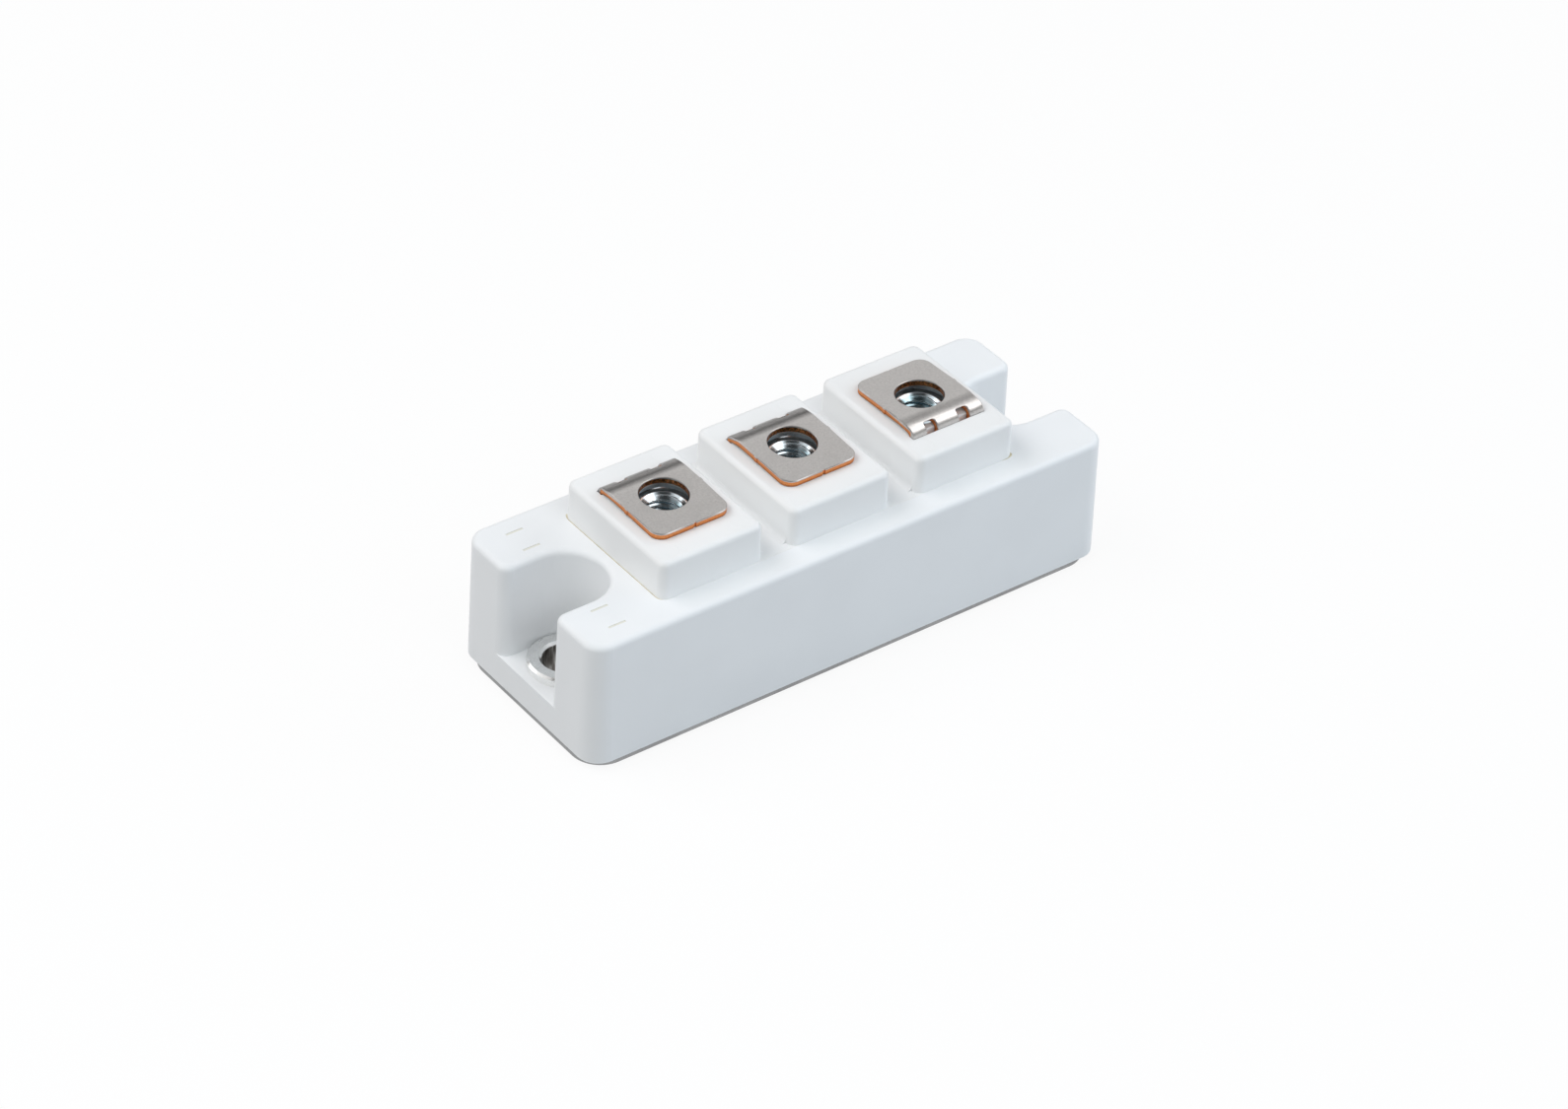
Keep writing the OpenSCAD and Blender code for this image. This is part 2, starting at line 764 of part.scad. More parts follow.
// The narrow leg and the foot of terminal i, with the leg at the back
module leg_and_foot(i) {
    bend_top_z = part_z + foot_bend_r;
    translate([foot_x(i) - leg_w / 2, leg_y - strip_t, bend_top_z])
        cube([leg_w, strip_t, shoulder_z + leg_lap - bend_top_z]);
    translate([foot_x(i), leg_y - foot_bend_r, bend_top_z])
        strip_bend(leg_w, foot_bend_r - strip_t, foot_bend_r, -90, 90);
    translate([foot_x(i) - leg_w / 2, leg_y - foot_l, part_z])
        cube([leg_w, foot_l - foot_bend_r, strip_t]);
}

// One terminal, stamped and bent from strip
module terminal(i) {
    color("lightgray")
        at_terminal(i) {
            leaning_strip()
                upper_strip();
            leg_and_foot(i);
        }
}

module terminal_1() {
    terminal(0);
}

module terminal_2() {
    terminal(1);
}

module terminal_3() {
    terminal(2);
}

// Solder under the flat part of each foot
module terminal_solder() {
    color("darkgray")
        for (i = [0 : 2])
            at_terminal(i)
                translate([foot_x(i) - leg_w / 2, leg_y - foot_l, joint_z])
                    cube([leg_w, foot_l - foot_bend_r, joint_t]);
}

// Sheet of the substrate on side s, -1 for the left and 1 for the right
module substrate_sheet(s, inset, z, t) {
    x0 = substrate_x0 + inset;
    x1 = substrate_x1 - inset;
    half_y = substrate_y - inset;
    translate([s > 0 ? x0 : -x1, -half_y, z])
        cube([x1 - x0, 2 * half_y, t]);
}

// Copper island on side s between two places across the package
module island(s, y0, y1) {
    translate([s > 0 ? island_x0 : -island_x1, y0, circuit_z])
        cube([island_x1 - island_x0, y1 - y0, foil_t]);
}

module left_substrate_solder() {
    color("darkgray")
        substrate_sheet(-1, foil_rim, plate_t, solder_t);
}

module right_substrate_solder() {
    color("darkgray")
        substrate_sheet(1, foil_rim, plate_t, solder_t);
}

module left_back_foil() {
    color("peru")
        substrate_sheet(-1, foil_rim, foil_z, foil_t);
}

module right_back_foil() {
    color("peru")
        substrate_sheet(1, foil_rim, foil_z, foil_t);
}

module left_ceramic() {
    color("white")
        substrate_sheet(-1, 0, ceramic_z, ceramic_t);
}

module right_ceramic() {
    color("white")
        substrate_sheet(1, 0, ceramic_z, ceramic_t);
}

// Middle-point island at the back, negative rail at the front
module left_circuit() {
    color("peru") {
        island(-1, left_split_y, island_y);
        island(-1, -island_y, left_split_y - island_gap);
    }
}

// Positive island at the back, middle-point bus, negative island at the front
module right_circuit() {
    color("peru") {
        island(1, bus_y1 + island_gap, island_y);
        island(1, bus_y0, bus_y1);
        island(1, -island_y, bus_y0 - island_gap);
    }
}

// One diode chip, its cathode side down
module chip(i) {
    color("dimgray")
        translate([chips[i][0] - chip_l / 2, chips[i][1] - chip_l / 2, part_z])
            cube([chip_l, chip_l, chip_t]);
}

module chip_1() {
    chip(0);
}

module chip_2() {
    chip(1);
}

module chip_3() {
    chip(2);
}

module chip_4() {
    chip(3);
}

module chip_solder() {
    color("darkgray")
        for (c = chips)
            translate([c[0] - chip_l / 2, c[1] - chip_l / 2, joint_z])
                cube([chip_l, chip_l, joint_t]);
}

// Bond wire in a plane of constant X: two wedge feet and an arc between them
module wire(y0, z0, y1, z1) {
    rise = wire_foot[2] / 2;
    chord = norm([y1 - y0, z1 - z0]);
    arc_r = chord / 2 / sin(wire_arc);
    slope = atan2(z0 - z1, abs(y1 - y0));
    for (end = [[y0, z0], [y1, z1]])
        translate([-wire_foot[0] / 2, end[0] - wire_foot[1] / 2, end[1]])
            cube(wire_foot);
    translate([0, (y0 + y1) / 2, (z0 + z1) / 2 + rise])
        rotate([slope, 0, 0])
            translate([0, 0, -arc_r * cos(wire_arc)])
                rotate([90, 0, 90])
                    rotate([0, 0, 90 - wire_arc])
                        rotate_extrude(angle = 2 * wire_arc)
                            translate([arc_r, 0])
                                circle(d = wire_d);
}

// Slot that a bond wire takes up in the gel
module wire_slot(y0, z0, y1, z1) {
    loop_h = abs(y1 - y0) / 2 * tan(wire_arc / 2) + 2 * wire_foot[2];
    y_min = min(y0, y1) - wire_foot[1] / 2;
    y_max = max(y0, y1) + wire_foot[1] / 2;
    translate([-wire_foot[0] / 2, y_min, min(z0, z1)])
        cube([wire_foot[0], y_max - y_min, max(z0, z1) - min(z0, z1) + loop_h]);
}

// Places the wires of chip i
module at_chip_wires(i) {
    for (k = [0 : wires_per_chip - 1])
        translate([chips[i][0] + (k - (wires_per_chip - 1) / 2) * wire_pitch, 0, 0])
            children();
}

module left_chip_wires() {
    color("gainsboro")
        for (i = [0, 1])
            at_chip_wires(i)
                wire(left_chip_y, chip_top_z, left_bond_y, joint_z);
}

module right_chip_wires() {
    color("gainsboro")
        for (i = [2, 3])
            at_chip_wires(i)
                wire(right_chip_y, chip_top_z, right_bond_y, joint_z);
}

// Places the wires that cross from one substrate to the other
module at_links() {
    for (y = concat(bus_link_ys, rail_link_ys))
        translate([0, y, 0])
            rotate([0, 0, 90])
                children();
}

module link_wires() {
    color("gainsboro")
        at_links()
            wire(link_x, joint_z, -link_x, joint_z);
}

// Soft gel over the circuit, cut by all that stands in it
module gel_fill() {
    color("lightcyan", 0.4)
        difference() {
            translate([-cavity_x, -cavity_y, plate_t])
                cube([2 * cavity_x, 2 * cavity_y, gel_h]);
            for (s = [-1, 1]) {
                substrate_sheet(s, foil_rim, plate_t, solder_t + foil_t);
                substrate_sheet(s, 0, ceramic_z, ceramic_t);
            }
            left_circuit();
            right_circuit();
            for (c = chips)
                translate([c[0] - chip_l / 2, c[1] - chip_l / 2, joint_z])
                    cube([chip_l, chip_l, joint_t + chip_t]);
            for (i = [0 : 2])
                at_terminal(i)
                    leg_and_foot(i);
            terminal_solder();
            for (i = [0, 1])
                at_chip_wires(i)
                    wire_slot(left_chip_y, chip_top_z, left_bond_y, joint_z);
            for (i = [2, 3])
                at_chip_wires(i)
                    wire_slot(right_chip_y, chip_top_z, right_bond_y, joint_z);
            at_links()
                wire_slot(link_x, joint_z, -link_x, joint_z);
        }
}

base_plate();
housing();
terminal_block();
base_seal();
block_seal();
mounting_bushes();
terminal_nuts();
terminal_1();
terminal_2();
terminal_3();
terminal_solder();
left_substrate_solder();
left_back_foil();
left_ceramic();
left_circuit();
right_substrate_solder();
right_back_foil();
right_ceramic();
right_circuit();
chip_1();
chip_2();
chip_3();
chip_4();
chip_solder();
left_chip_wires();
right_chip_wires();
link_wires();
gel_fill();
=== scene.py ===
"""Finishes, screw threads and a white studio for a three-terminal diode module."""

import math

import bmesh
import bpy
import numpy as np
from bpy.props import FloatProperty, FloatVectorProperty, IntProperty, PointerProperty
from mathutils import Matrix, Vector


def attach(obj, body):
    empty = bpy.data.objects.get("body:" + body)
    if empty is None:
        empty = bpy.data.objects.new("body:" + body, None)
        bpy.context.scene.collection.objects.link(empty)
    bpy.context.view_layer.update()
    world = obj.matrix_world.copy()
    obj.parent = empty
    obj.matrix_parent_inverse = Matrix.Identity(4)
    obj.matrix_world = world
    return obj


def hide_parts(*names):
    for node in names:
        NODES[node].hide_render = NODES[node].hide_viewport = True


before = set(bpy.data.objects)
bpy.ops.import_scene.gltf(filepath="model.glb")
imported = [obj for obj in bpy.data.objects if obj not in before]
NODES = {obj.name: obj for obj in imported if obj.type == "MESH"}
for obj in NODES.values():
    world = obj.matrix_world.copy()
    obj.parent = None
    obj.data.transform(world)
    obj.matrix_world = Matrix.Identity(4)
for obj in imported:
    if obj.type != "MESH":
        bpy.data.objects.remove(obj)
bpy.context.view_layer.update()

bl_info = {
    "name": "Diode Module Finishes",
    "version": (1, 1, 0),
    "blender": (4, 5, 0),
    "location": "3D View > Sidebar > Diode Module",
    "description": "Dresses a three-terminal diode module with finishes, threads and a studio",
    "category": "Object",
}

MM = 0.001

# Terminal strip, in millimetres: its upper part leans about the leg's outer face at shoulder height
TERMINAL_PITCH = 23.0
SCREW_Y = 0.35
LEG_Y = 8.019
SHOULDER_Z = 18.5
STRIP_RISE = 10.685
STRIP_T = 1.0
PAD_TILT = math.radians(2.4)
PEDESTAL_Z = 28.5
TOP_Z = 22.2

# Bends of the strip, in millimetres: radii, and axes as distances out from the leg's outer face and
# up from the shoulder. The bends meet on a line that runs 7 out and 24 up for a length of 25.
LONG_R = 10.0
TIGHT_R = 1.6
MEET_OUT, MEET_UP = 0.28, 0.96
LONG_AXIS = (-TIGHT_R - (LONG_R - TIGHT_R) * MEET_OUT, STRIP_RISE + STRIP_T - LONG_R)
TIGHT_AXIS = (-TIGHT_R, LONG_AXIS[1] + (LONG_R - TIGHT_R) * MEET_UP)

# Shear nick of the strip, in millimetres: half width, span from the middle and how much of it is
# filled; the edges taken for it lie farther out than NICK_Y and are shorter than NICK_EDGE
NICK_HALF_W = 0.3
NICK_SPAN = (6.7, 7.15)
NICK_FILL = 0.2
NICK_Y = 5.0
NICK_EDGE = 0.6

# Tie-bar stubs of the strip, in millimetres: where they start, half width and longest edge
STUB_X = 6.55
STUB_HALF_W = 1.0
STUB_EDGE = 0.7

# Distances from a terminal's middle, in millimetres, between which the painted shade and smoother
# finish of the copper round its screw fade in
HOLE_SHADE_EDGE = (4.6, 4.3)

# Roll-over of the strip: height in millimetres above which edges are rolled, greatest depth of such
# an edge below the outer face, least angle at it, and faces across it
ROLL_Z = PEDESTAL_Z - 1.2
ROLL_DEPTH = 0.03
ROLL_ANGLE = math.radians(40)
ROLL_FACES = 4

# Block outline, its ejector pins on each pedestal and the seam round it, in millimetres
BLOCK_HALF = (32.05, 12.2)
BLOCK_CORNER_R = 1.4
PIN_PLACE = (6.2, 9.6)
SEAM_GAP = 0.15

# Adhesive bead in the seam, in millimetres: depth, level below the housing's top, and points along
# it; then where it is squeezed out: distance in from the block's corner, reach, spread and lift
BEAD_DEPTH = 0.9
BEAD_SINK = 0.015
BEAD_STEPS = 960
SWELL_INSET = 0.35
SWELL_REACH = 0.42
SWELL_SPREAD = 0.08
SWELL_LIFT = 0.24

# Blanked slits in the left end, in millimetres: middle of a pair, distance in it, and where a floor
# ends along and across
SLIT_X = 40.25
SLIT_Y = 10.7
SLIT_PITCH = 4.4
SLIT_END = (1.5, 1.42)
SLIT_SIDE = (0.24, 0.17)

# Captive nuts, in millimetres: width across flats, height, underside, radius at the thread's crests
# and at the countersinks' mouths, drop and inset of the corner chamfer, and height of its edge
NUT_AF = 10.0
NUT_H = 5.0
NUT_Z = 22.7
NUT_MINOR_R = 2.5
NUT_MOUTH_R = 3.375
NUT_CHAMFER = 0.45
NUT_SEAT_INSET = 0.12
NUT_RIM = 0.05

# Groove of the thread: slope of its wave, and how much of the wave the crest cuts off
GROOVE_SLOPE = 2.6
GROOVE_CREST = 0.12

# Mounting bushes, in millimetres
MOUNT_X = 40.0
BUSH_BORE_R = 3.3
BUSH_TOP_Z = 7.7

# Pieces inside: material, setting of its colour, roughness, metallic, grain and its depth in
# millimetres, and nodes
INSIDE = (
    ("circuit_copper", "copper", 0.35, 1.0, 0.2, 0.004,
     ("left_back_foil", "left_circuit", "right_back_foil", "right_circuit")),
    ("white_ceramic", "ceramic", 0.55, 0.0, 0.15, 0.004, ("left_ceramic", "right_ceramic")),
    ("solder_joint", "solder", 0.4, 1.0, 0.3, 0.01,
     ("terminal_solder", "chip_solder", "left_substrate_solder", "right_substrate_solder")),
    ("chip_silicon", "silicon", 0.2, 0.6, 0.4, 0.001, ("chip_1", "chip_2", "chip_3", "chip_4")),
    ("bond_wire", "aluminium", 0.3, 1.0, 0.1, 0.004,
     ("left_chip_wires", "right_chip_wires", "link_wires")),
    ("clear_gel", "gel", 0.15, 0.0, 1.0, 0.01, ("gel_fill",)),
)

# Soft lights: the setting that holds the power, the place in metres and the tone
LAMPS = (
    ("front", (0.0, -0.514, 0.613), (0.92, 0.96, 1.0)),
    ("left", (-0.514, 0.0, 0.613), (0.99, 1.0, 0.96)),
    ("back", (-0.364, 0.364, 0.613), (1.0, 0.95, 0.97)),
    ("side", (0.532, -0.532, 0.274), (0.71, 0.85, 1.0)),
    ("right", (0.752, 0.0, 0.274), (1.0, 0.965, 0.93)),
)
LAMP_WIDTH = 0.5
LAMP_AIM = Vector((0.0, 0.0, 0.015))

# Floor, in metres: half width, and height just below the plate
FLOOR_HALF = 3.0
FLOOR_Z = -0.00002

# Tent that the metals see: radius in metres, rings and points in each; then, by height over radius,
# where its grey level rises and where it falls, with both levels, and the least level
TENT_R = 1.6
TENT_SHAPE = (17, 64)
TENT_RISE = (0.22, 0.53, (0.03, 0.95))
TENT_FALL = (0.69, 0.77, (0.0, 0.62))
TENT_LEAST = 0.04

# Panels of the tent: half width of their soft edges; then azimuth, height and spread, all in
# degrees, and gain in level
PANEL_EDGE = 5.0
TENT_PANELS = (
    (-36.0, 46.0, 23.0, 1.65),
    (-57.0, 24.0, 14.0, 1.1),
    (125.0, 27.0, 15.0, 1.3),
    (230.0, 54.0, 24.0, -0.6),
)


def size(name, description, millimetres):
    """A length property, whose default is given in millimetres."""
    return FloatProperty(
        name=name, description=description, default=millimetres * MM, min=0.0,
        precision=6, unit="LENGTH",
    )


def colour(name, description, default):
    """A linear colour property."""
    return FloatVectorProperty(
        name=name, description=description, default=default, min=0.0, max=1.0,
        size=3, subtype="COLOR",
    )


def share(name, description, default):
    """A property from zero to one."""
    return FloatProperty(
        name=name, description=description, default=default, min=0.0, max=1.0, subtype="FACTOR"
    )


def power(name, description, default):
    """A lamp's power."""
    return FloatProperty(name=name, description=description, default=default, min=0.0, unit="POWER")


class PlasticSettings(bpy.types.PropertyGroup):
    """Finish of the two white mouldings"""

    housing: colour("Housing", "Colour of the moulded housing", (0.885, 0.90, 0.91))
    block: colour("Terminal block", "Colour of the terminal block", (0.88, 0.885, 0.882))
    roughness: share("Roughness", "Mean roughness of the moulded skin", 0.46)
    slit: colour("Slits", "Colour of the blanked slits' floors", (0.80, 0.79, 0.72))
    grain: size("Grain", "Size of the mould's spark-eroded grain", 0.22)
    grain_depth: size("Grain depth", "Depth of the grain", 0.0035)
    pin_radius: size("Ejector pin", "Radius of an ejector pin's mark", 1.5)
    pin_depth: size("Pin depth", "Depth of an ejector pin's mark", 0.02)


class TerminalSettings(bpy.types.PropertyGroup):
    """Finish of the plated terminals"""

    nickel: colour("Plating", "Colour of the plated faces", (0.61, 0.59, 0.575))
    copper: colour("Cut edge", "Colour of the bare sheared edge", (0.80, 0.31, 0.11))
    roughness: share("Roughness", "Mean roughness of the plated faces", 0.30)
    roll_over: size("Roll-over", "Radius of the die roll-over on the outer edges", 0.15)
    bend_start: size("Bend start", "How far from the middle the pad starts to fall off", 3.3)
    bend_fall: share("Bend fall", "How far the pad falls off, in mm, in the first mm", 0.05)
    plated_depth: size("Plated depth", "How far the plating reaches down a cut edge", 0.22)


class NutSettings(bpy.types.PropertyGroup):
    """Shape and finish of the captive nuts"""

    zinc: colour("Zinc", "Colour of the zinc plating", (0.70, 0.78, 0.83))
    bloom: colour("Bloom", "Colour of the specks of bloom on the zinc", (0.50, 0.47, 0.38))
    # Colour of the painted shade down in the thread
    shade: colour("Thread", "Colour of the zinc deep in the thread", (0.24, 0.38, 0.43))
    pitch: size("Pitch", "Pitch of the thread", 1.0)
    depth: size("Thread depth", "Depth of the thread's groove", 0.54)
    steps: IntProperty(name="Steps", description="Faces round a nut", default=96, min=24, max=240)
    rows: IntProperty(name="Rows", description="Faces along a bore", default=120, min=40, max=240)


class MetalSettings(bpy.types.PropertyGroup):
    """Finish of the base plate and the mounting bushes"""

    plate: colour("Base plate", "Colour of the plated base plate", (0.36, 0.365, 0.37))
    bush: colour("Bushes", "Colour of the plated bushes", (0.93, 0.93, 0.92))
    # Colour of the painted shade and reflection streaked in a bush's bore
    bore_shade: colour("Bush bores", "Colour of the streaks in a bush's bore", (0.09, 0.08, 0.07))
    bush_roughness: share("Bush roughness", "Mean roughness of a bush", 0.24)
    plate_roughness: share("Plate roughness", "Mean roughness of the base plate", 0.34)


class InsideSettings(bpy.types.PropertyGroup):
    """Colours of the adhesive and of the pieces inside the housing"""

    adhesive: colour("Adhesive", "Colour of the cured adhesive", (0.60, 0.54, 0.38))
    filler: colour("Thin adhesive", "Colour of the adhesive where it is thin", (0.87, 0.875, 0.87))
    copper: colour("Copper", "Colour of the circuit foils", (0.80, 0.42, 0.26))
    ceramic: colour("Ceramic", "Colour of the ceramic sheets", (0.80, 0.79, 0.75))
    silicon: colour("Chips", "Colour of the chips", (0.28, 0.29, 0.32))
    solder: colour("Solder", "Colour of the solder", (0.52, 0.53, 0.54))
    aluminium: colour("Wires", "Colour of the bond wires", (0.78, 0.78, 0.79))
    gel: colour("Gel", "Colour of the silicone gel", (0.78, 0.80, 0.78))


class StudioSettings(bpy.types.PropertyGroup):
    """Camera, floor and lights"""

    eye: FloatVectorProperty(
        name="Camera", description="Place of the camera", subtype="XYZ", unit="LENGTH",
        default=(-0.365779, -0.458089, 0.457187),
    )
    aim: FloatVectorProperty(
        name="Camera turn", description="Rotation of the camera", subtype="EULER",
        default=(math.radians(52.57696), math.radians(-2.54832), math.radians(-36.60919)),
    )
    lens: FloatProperty(
        name="Lens", description="Focal length of the camera", default=114.325, min=1.0,
        unit="CAMERA",
    )
    floor: colour("Floor", "Colour of the floor as it is seen", (0.92, 0.92, 0.92))
    bounce: share("Floor bounce", "How much light the floor sends back up", 0.45)
    glow: share("Floor glow", "How far the floor keeps to the white of the background", 0.9)
    ambient: colour("Ambient", "Light from all round", (0.34, 0.36, 0.375))
    front: power("Front light", "Power of the light in front", 1.3)
    left: power("Left light", "Power of the light on the left", 1.63)
    back: power("Back light", "Power of the light behind, on the left", 1.95)
    side: power("Side light", "Power of the low light in front, on the right", 1.46)
    right: power("Right light", "Power of the low light on the right", 1.4)


class Value:
    """A number that varies over a surface: it wraps a socket, and sums on it add Math nodes."""

    def __init__(self, finish, socket):
        self.finish, self.socket = finish, socket

    def math(self, operation, *operands):
        return self.finish.add("ShaderNodeMath", {"operation": operation}, operands)

    def __add__(self, other):
        return self.math("ADD", self, other)

    def __sub__(self, other):
        return self.math("SUBTRACT", self, other)

    def __rsub__(self, other):
        return self.math("SUBTRACT", other, self)

    def __mul__(self, other):
        return self.math("MULTIPLY", self, other)

    def __truediv__(self, other):
        return self.math("DIVIDE", self, other)

    def __abs__(self):
        return self.math("ABSOLUTE", self)

    __radd__, __rmul__ = __add__, __mul__

    def rounded(self):
        return self.math("ROUND", self)

    def most(self, other):
        return self.math("MAXIMUM", self, other)

    def length(self, other):
        return self.math("SQRT", self * self + other * other)

    def step(self, low, high, to=(0.0, 1.0)):
        """A smooth change between two levels; with low above high it falls."""
        ends = (low, high, *to) if low < high else (high, low, *reversed(to))
        names = ("From Min", "From Max", "To Min", "To Max")
        return self.finish.add(
            "ShaderNodeMapRange", {"interpolation_type": "SMOOTHSTEP"},
            {"Value": self, **dict(zip(names, ends))},
        )


class Finish:
    """The node tree of a material or of the world, under construction."""

    def __init__(self, owner):
        owner.use_nodes = True
        self.owner, self.tree = owner, owner.node_tree
        self.tree.nodes.clear()
        kind = "World" if isinstance(owner, bpy.types.World) else "Material"
        self.output = self.tree.nodes.new(f"ShaderNodeOutput{kind}")
        self.place = self.add("ShaderNodeTexCoord", out="Object")
        self.shader = None

    @classmethod
    def surface(cls, name, **constants):
        """A new material with one Principled shader; constants go straight onto its sockets."""
        finish = cls(bpy.data.materials.new(name))
        sockets = {key.replace("_", " "): value for key, value in constants.items()}
        return finish.show(finish.add("ShaderNodeBsdfPrincipled", {}, sockets))

    def show(self, shader):
        """Makes a shader the one that the surface shows."""
        self.shader = shader
        self.tree.links.new(shader.socket, self.output.inputs["Surface"])
        return self

    def add(self, kind, settings=None, sockets=None, out=0):
        """A node of this kind: settings first, then the values or links of its sockets."""
        node = self.tree.nodes.new(kind)
        for key, value in (settings or {}).items():
            setattr(node, key, value)
        pairs = sockets.items() if isinstance(sockets, dict) else enumerate(sockets or ())
        for key, value in pairs:
            if isinstance(value, Value):
                self.tree.links.new(value.socket, node.inputs[key])
            elif isinstance(value, tuple) and node.inputs[key].type == "RGBA":
                node.inputs[key].default_value = (*value[:3], 1.0)
            else:
                node.inputs[key].default_value = value
        return Value(self, node.outputs[out])

    def outputs(self, value, *names):
        """Other outputs of the node that a value comes from."""
        return [Value(self, value.socket.node.outputs[name]) for name in names]

    def axes(self):
        """The surface's own x, y and z in millimetres."""
        split = self.add("ShaderNodeSeparateXYZ", {}, (self.place,))
        return [axis * 1000.0 for axis in self.outputs(split, "X", "Y", "Z")]

    def vector(self, x, y, z):
        return self.add("ShaderNodeCombineXYZ", {}, (x, y, z))

    def noise(self, grain, detail=2.0, where=None, roughness=0.5):
        """Soft noise from zero to one, whose patches are about grain millimetres wide."""
        if where is None:
            where, scale = self.place, 1000.0 / grain
        else:
            scale = 1.0 / grain
        return self.add(
            "ShaderNodeTexNoise", {},
            {"Vector": where, "Scale": scale, "Detail": detail, "Roughness": roughness},
        )

    def mix(self, amount, low, high):
        """A colour between two colours."""
        return self.add("ShaderNodeMix", {"data_type": "RGBA"}, {0: amount, 6: low, 7: high}, out=2)

    def feed(self, **inputs):
        """Links values to the shader's sockets."""
        node = self.shader.socket.node
        for key, value in inputs.items():
            self.tree.links.new(value.socket, node.inputs[key.replace("_", " ")])
        return self

    def relief(self, height):
        """Bumps the surface by a height in millimetres."""
        bump = self.add(
            "ShaderNodeBump", {}, {"Strength": 1.0, "Distance": MM, "Height": height}, out="Normal"
        )
        return self.feed(Normal=bump)


def dress(finish, *names):
    """Puts one material on whole CAD nodes or pieces."""
    for name in names:
        mesh = (NODES.get(name) or bpy.data.objects[name]).data
        mesh.materials.clear()
        mesh.materials.append(finish.owner)
        mesh.polygons.foreach_set("material_index", np.zeros(len(mesh.polygons), np.int32))
        mesh.update()


def tint(base, factor):
    """A colour made lighter or darker as a whole."""
    return tuple(min(1.0, c * factor) for c in base)


def moulded_white(name, base, settings, block):
    """Spark-eroded moulded plastic: fine grain, slow sinks in the wall and a slightly uneven tone.
    On the block, each pedestal carries the shallow round marks of four ejector pins. On the
    housing, the floors of the blanked slits are coloured darker and yellower."""
    finish = Finish.surface(name, Specular_IOR_Level=0.42, IOR=1.5)
    grain = finish.noise(settings.grain / MM)
    speckle = finish.noise(0.9, detail=3.0, roughness=0.6)
    cloud = finish.noise(14.0)
    sink = finish.noise(9.0, detail=1.0)
    tone = finish.mix(cloud.step(0.3, 0.7), tint(base, 0.985), tint(base, 1.012))
    tone = finish.mix(speckle.step(0.62, 0.8) * 0.12, tone, tint(base, 0.93))
    height = grain * (settings.grain_depth / MM) + sink * 0.012
    x, y, z = finish.axes()
    if block:
        across = abs(x - (x / TERMINAL_PITCH).rounded() * TERMINAL_PITCH)
        reach = (across - PIN_PLACE[0]).length(abs(y) - PIN_PLACE[1])
        r = settings.pin_radius / MM
        mark = reach.step(r + 0.07, r - 0.07) * z.step(PEDESTAL_Z - 0.3, PEDESTAL_Z - 0.1)
        height = height - mark * (settings.pin_depth / MM)
    else:
        across = abs(abs(abs(y) - SLIT_Y) - SLIT_PITCH / 2)
        slit = across.step(*SLIT_SIDE) * abs(x + SLIT_X).step(*SLIT_END)
        tone = finish.mix(slit * z.step(TOP_Z - 0.3, TOP_Z - 0.2), tone, tuple(settings.slit))
    finish.feed(
        Base_Color=tone,
        Roughness=speckle * 0.10 + cloud * 0.06 + (settings.roughness - 0.08),
    )
    return finish.relief(height)


class MODULE_OT_mouldings(bpy.types.Operator):
    """Give the housing and the terminal block their moulded white finish"""

    bl_idname = "module.mouldings"
    bl_label = "Mouldings"

    def execute(self, context):
        settings = context.scene.module_plastic
        dress(moulded_white("housing_white", tuple(settings.housing), settings, False), "housing")
        dress(moulded_white("block_white", tuple(settings.block), settings, True), "terminal_block")
        return {"FINISHED"}


def strip_depth(points, turned):
    """Depth in millimetres of points below the strip's outer face.
    The points are turned into the leaning strip's own frame, with u along the leg's normal and w
    up the leg. On the pad the depth is the pad's top less w, round each bend the bend's radius less
    the distance from its axis, and on the leg it is minus u."""
    y = points[:, 1] / MM * (-1.0 if turned else 1.0) - LEG_Y
    z = points[:, 2] / MM - SHOULDER_Z
    u = y * math.cos(PAD_TILT) + z * math.sin(PAD_TILT)
    w = z * math.cos(PAD_TILT) - y * math.sin(PAD_TILT)
    long_u, long_w = u - LONG_AXIS[0], w - LONG_AXIS[1]
    tight_u, tight_w = u - TIGHT_AXIS[0], w - TIGHT_AXIS[1]
    on_pad, on_tight = long_u < 0, tight_w > 0
    on_long = MEET_UP * long_u < MEET_OUT * long_w
    below_pad = STRIP_RISE + STRIP_T - w
    in_long, in_tight = LONG_R - np.hypot(long_u, long_w), TIGHT_R - np.hypot(tight_u, tight_w)
    return np.select([on_pad, on_long, on_tight], [below_pad, in_long, in_tight], -u)


def mesh_points(mesh):
    """A mesh's vertices as an array."""
    points = np.empty(3 * len(mesh.vertices), np.float32)
    mesh.vertices.foreach_get("co", points)
    return points.reshape(-1, 3)


def off_centre(x):
    """Distance in millimetres of an x from the middle of the nearest terminal."""
    return abs(x - TERMINAL_PITCH * round(x / TERMINAL_PITCH))


def stamped(edge):
    """Whether an edge belongs to the shear nick or to a tie-bar stub, which stay sharp."""
    middle = (edge.verts[0].co + edge.verts[1].co) / (2 * MM)
    across, length = off_centre(middle.x), edge.calc_length() / MM
    nick = across < NICK_HALF_W and abs(middle.y) > NICK_Y and length < NICK_EDGE
    return nick or (across > STUB_X and abs(middle.y) < STUB_HALF_W and length < STUB_EDGE)


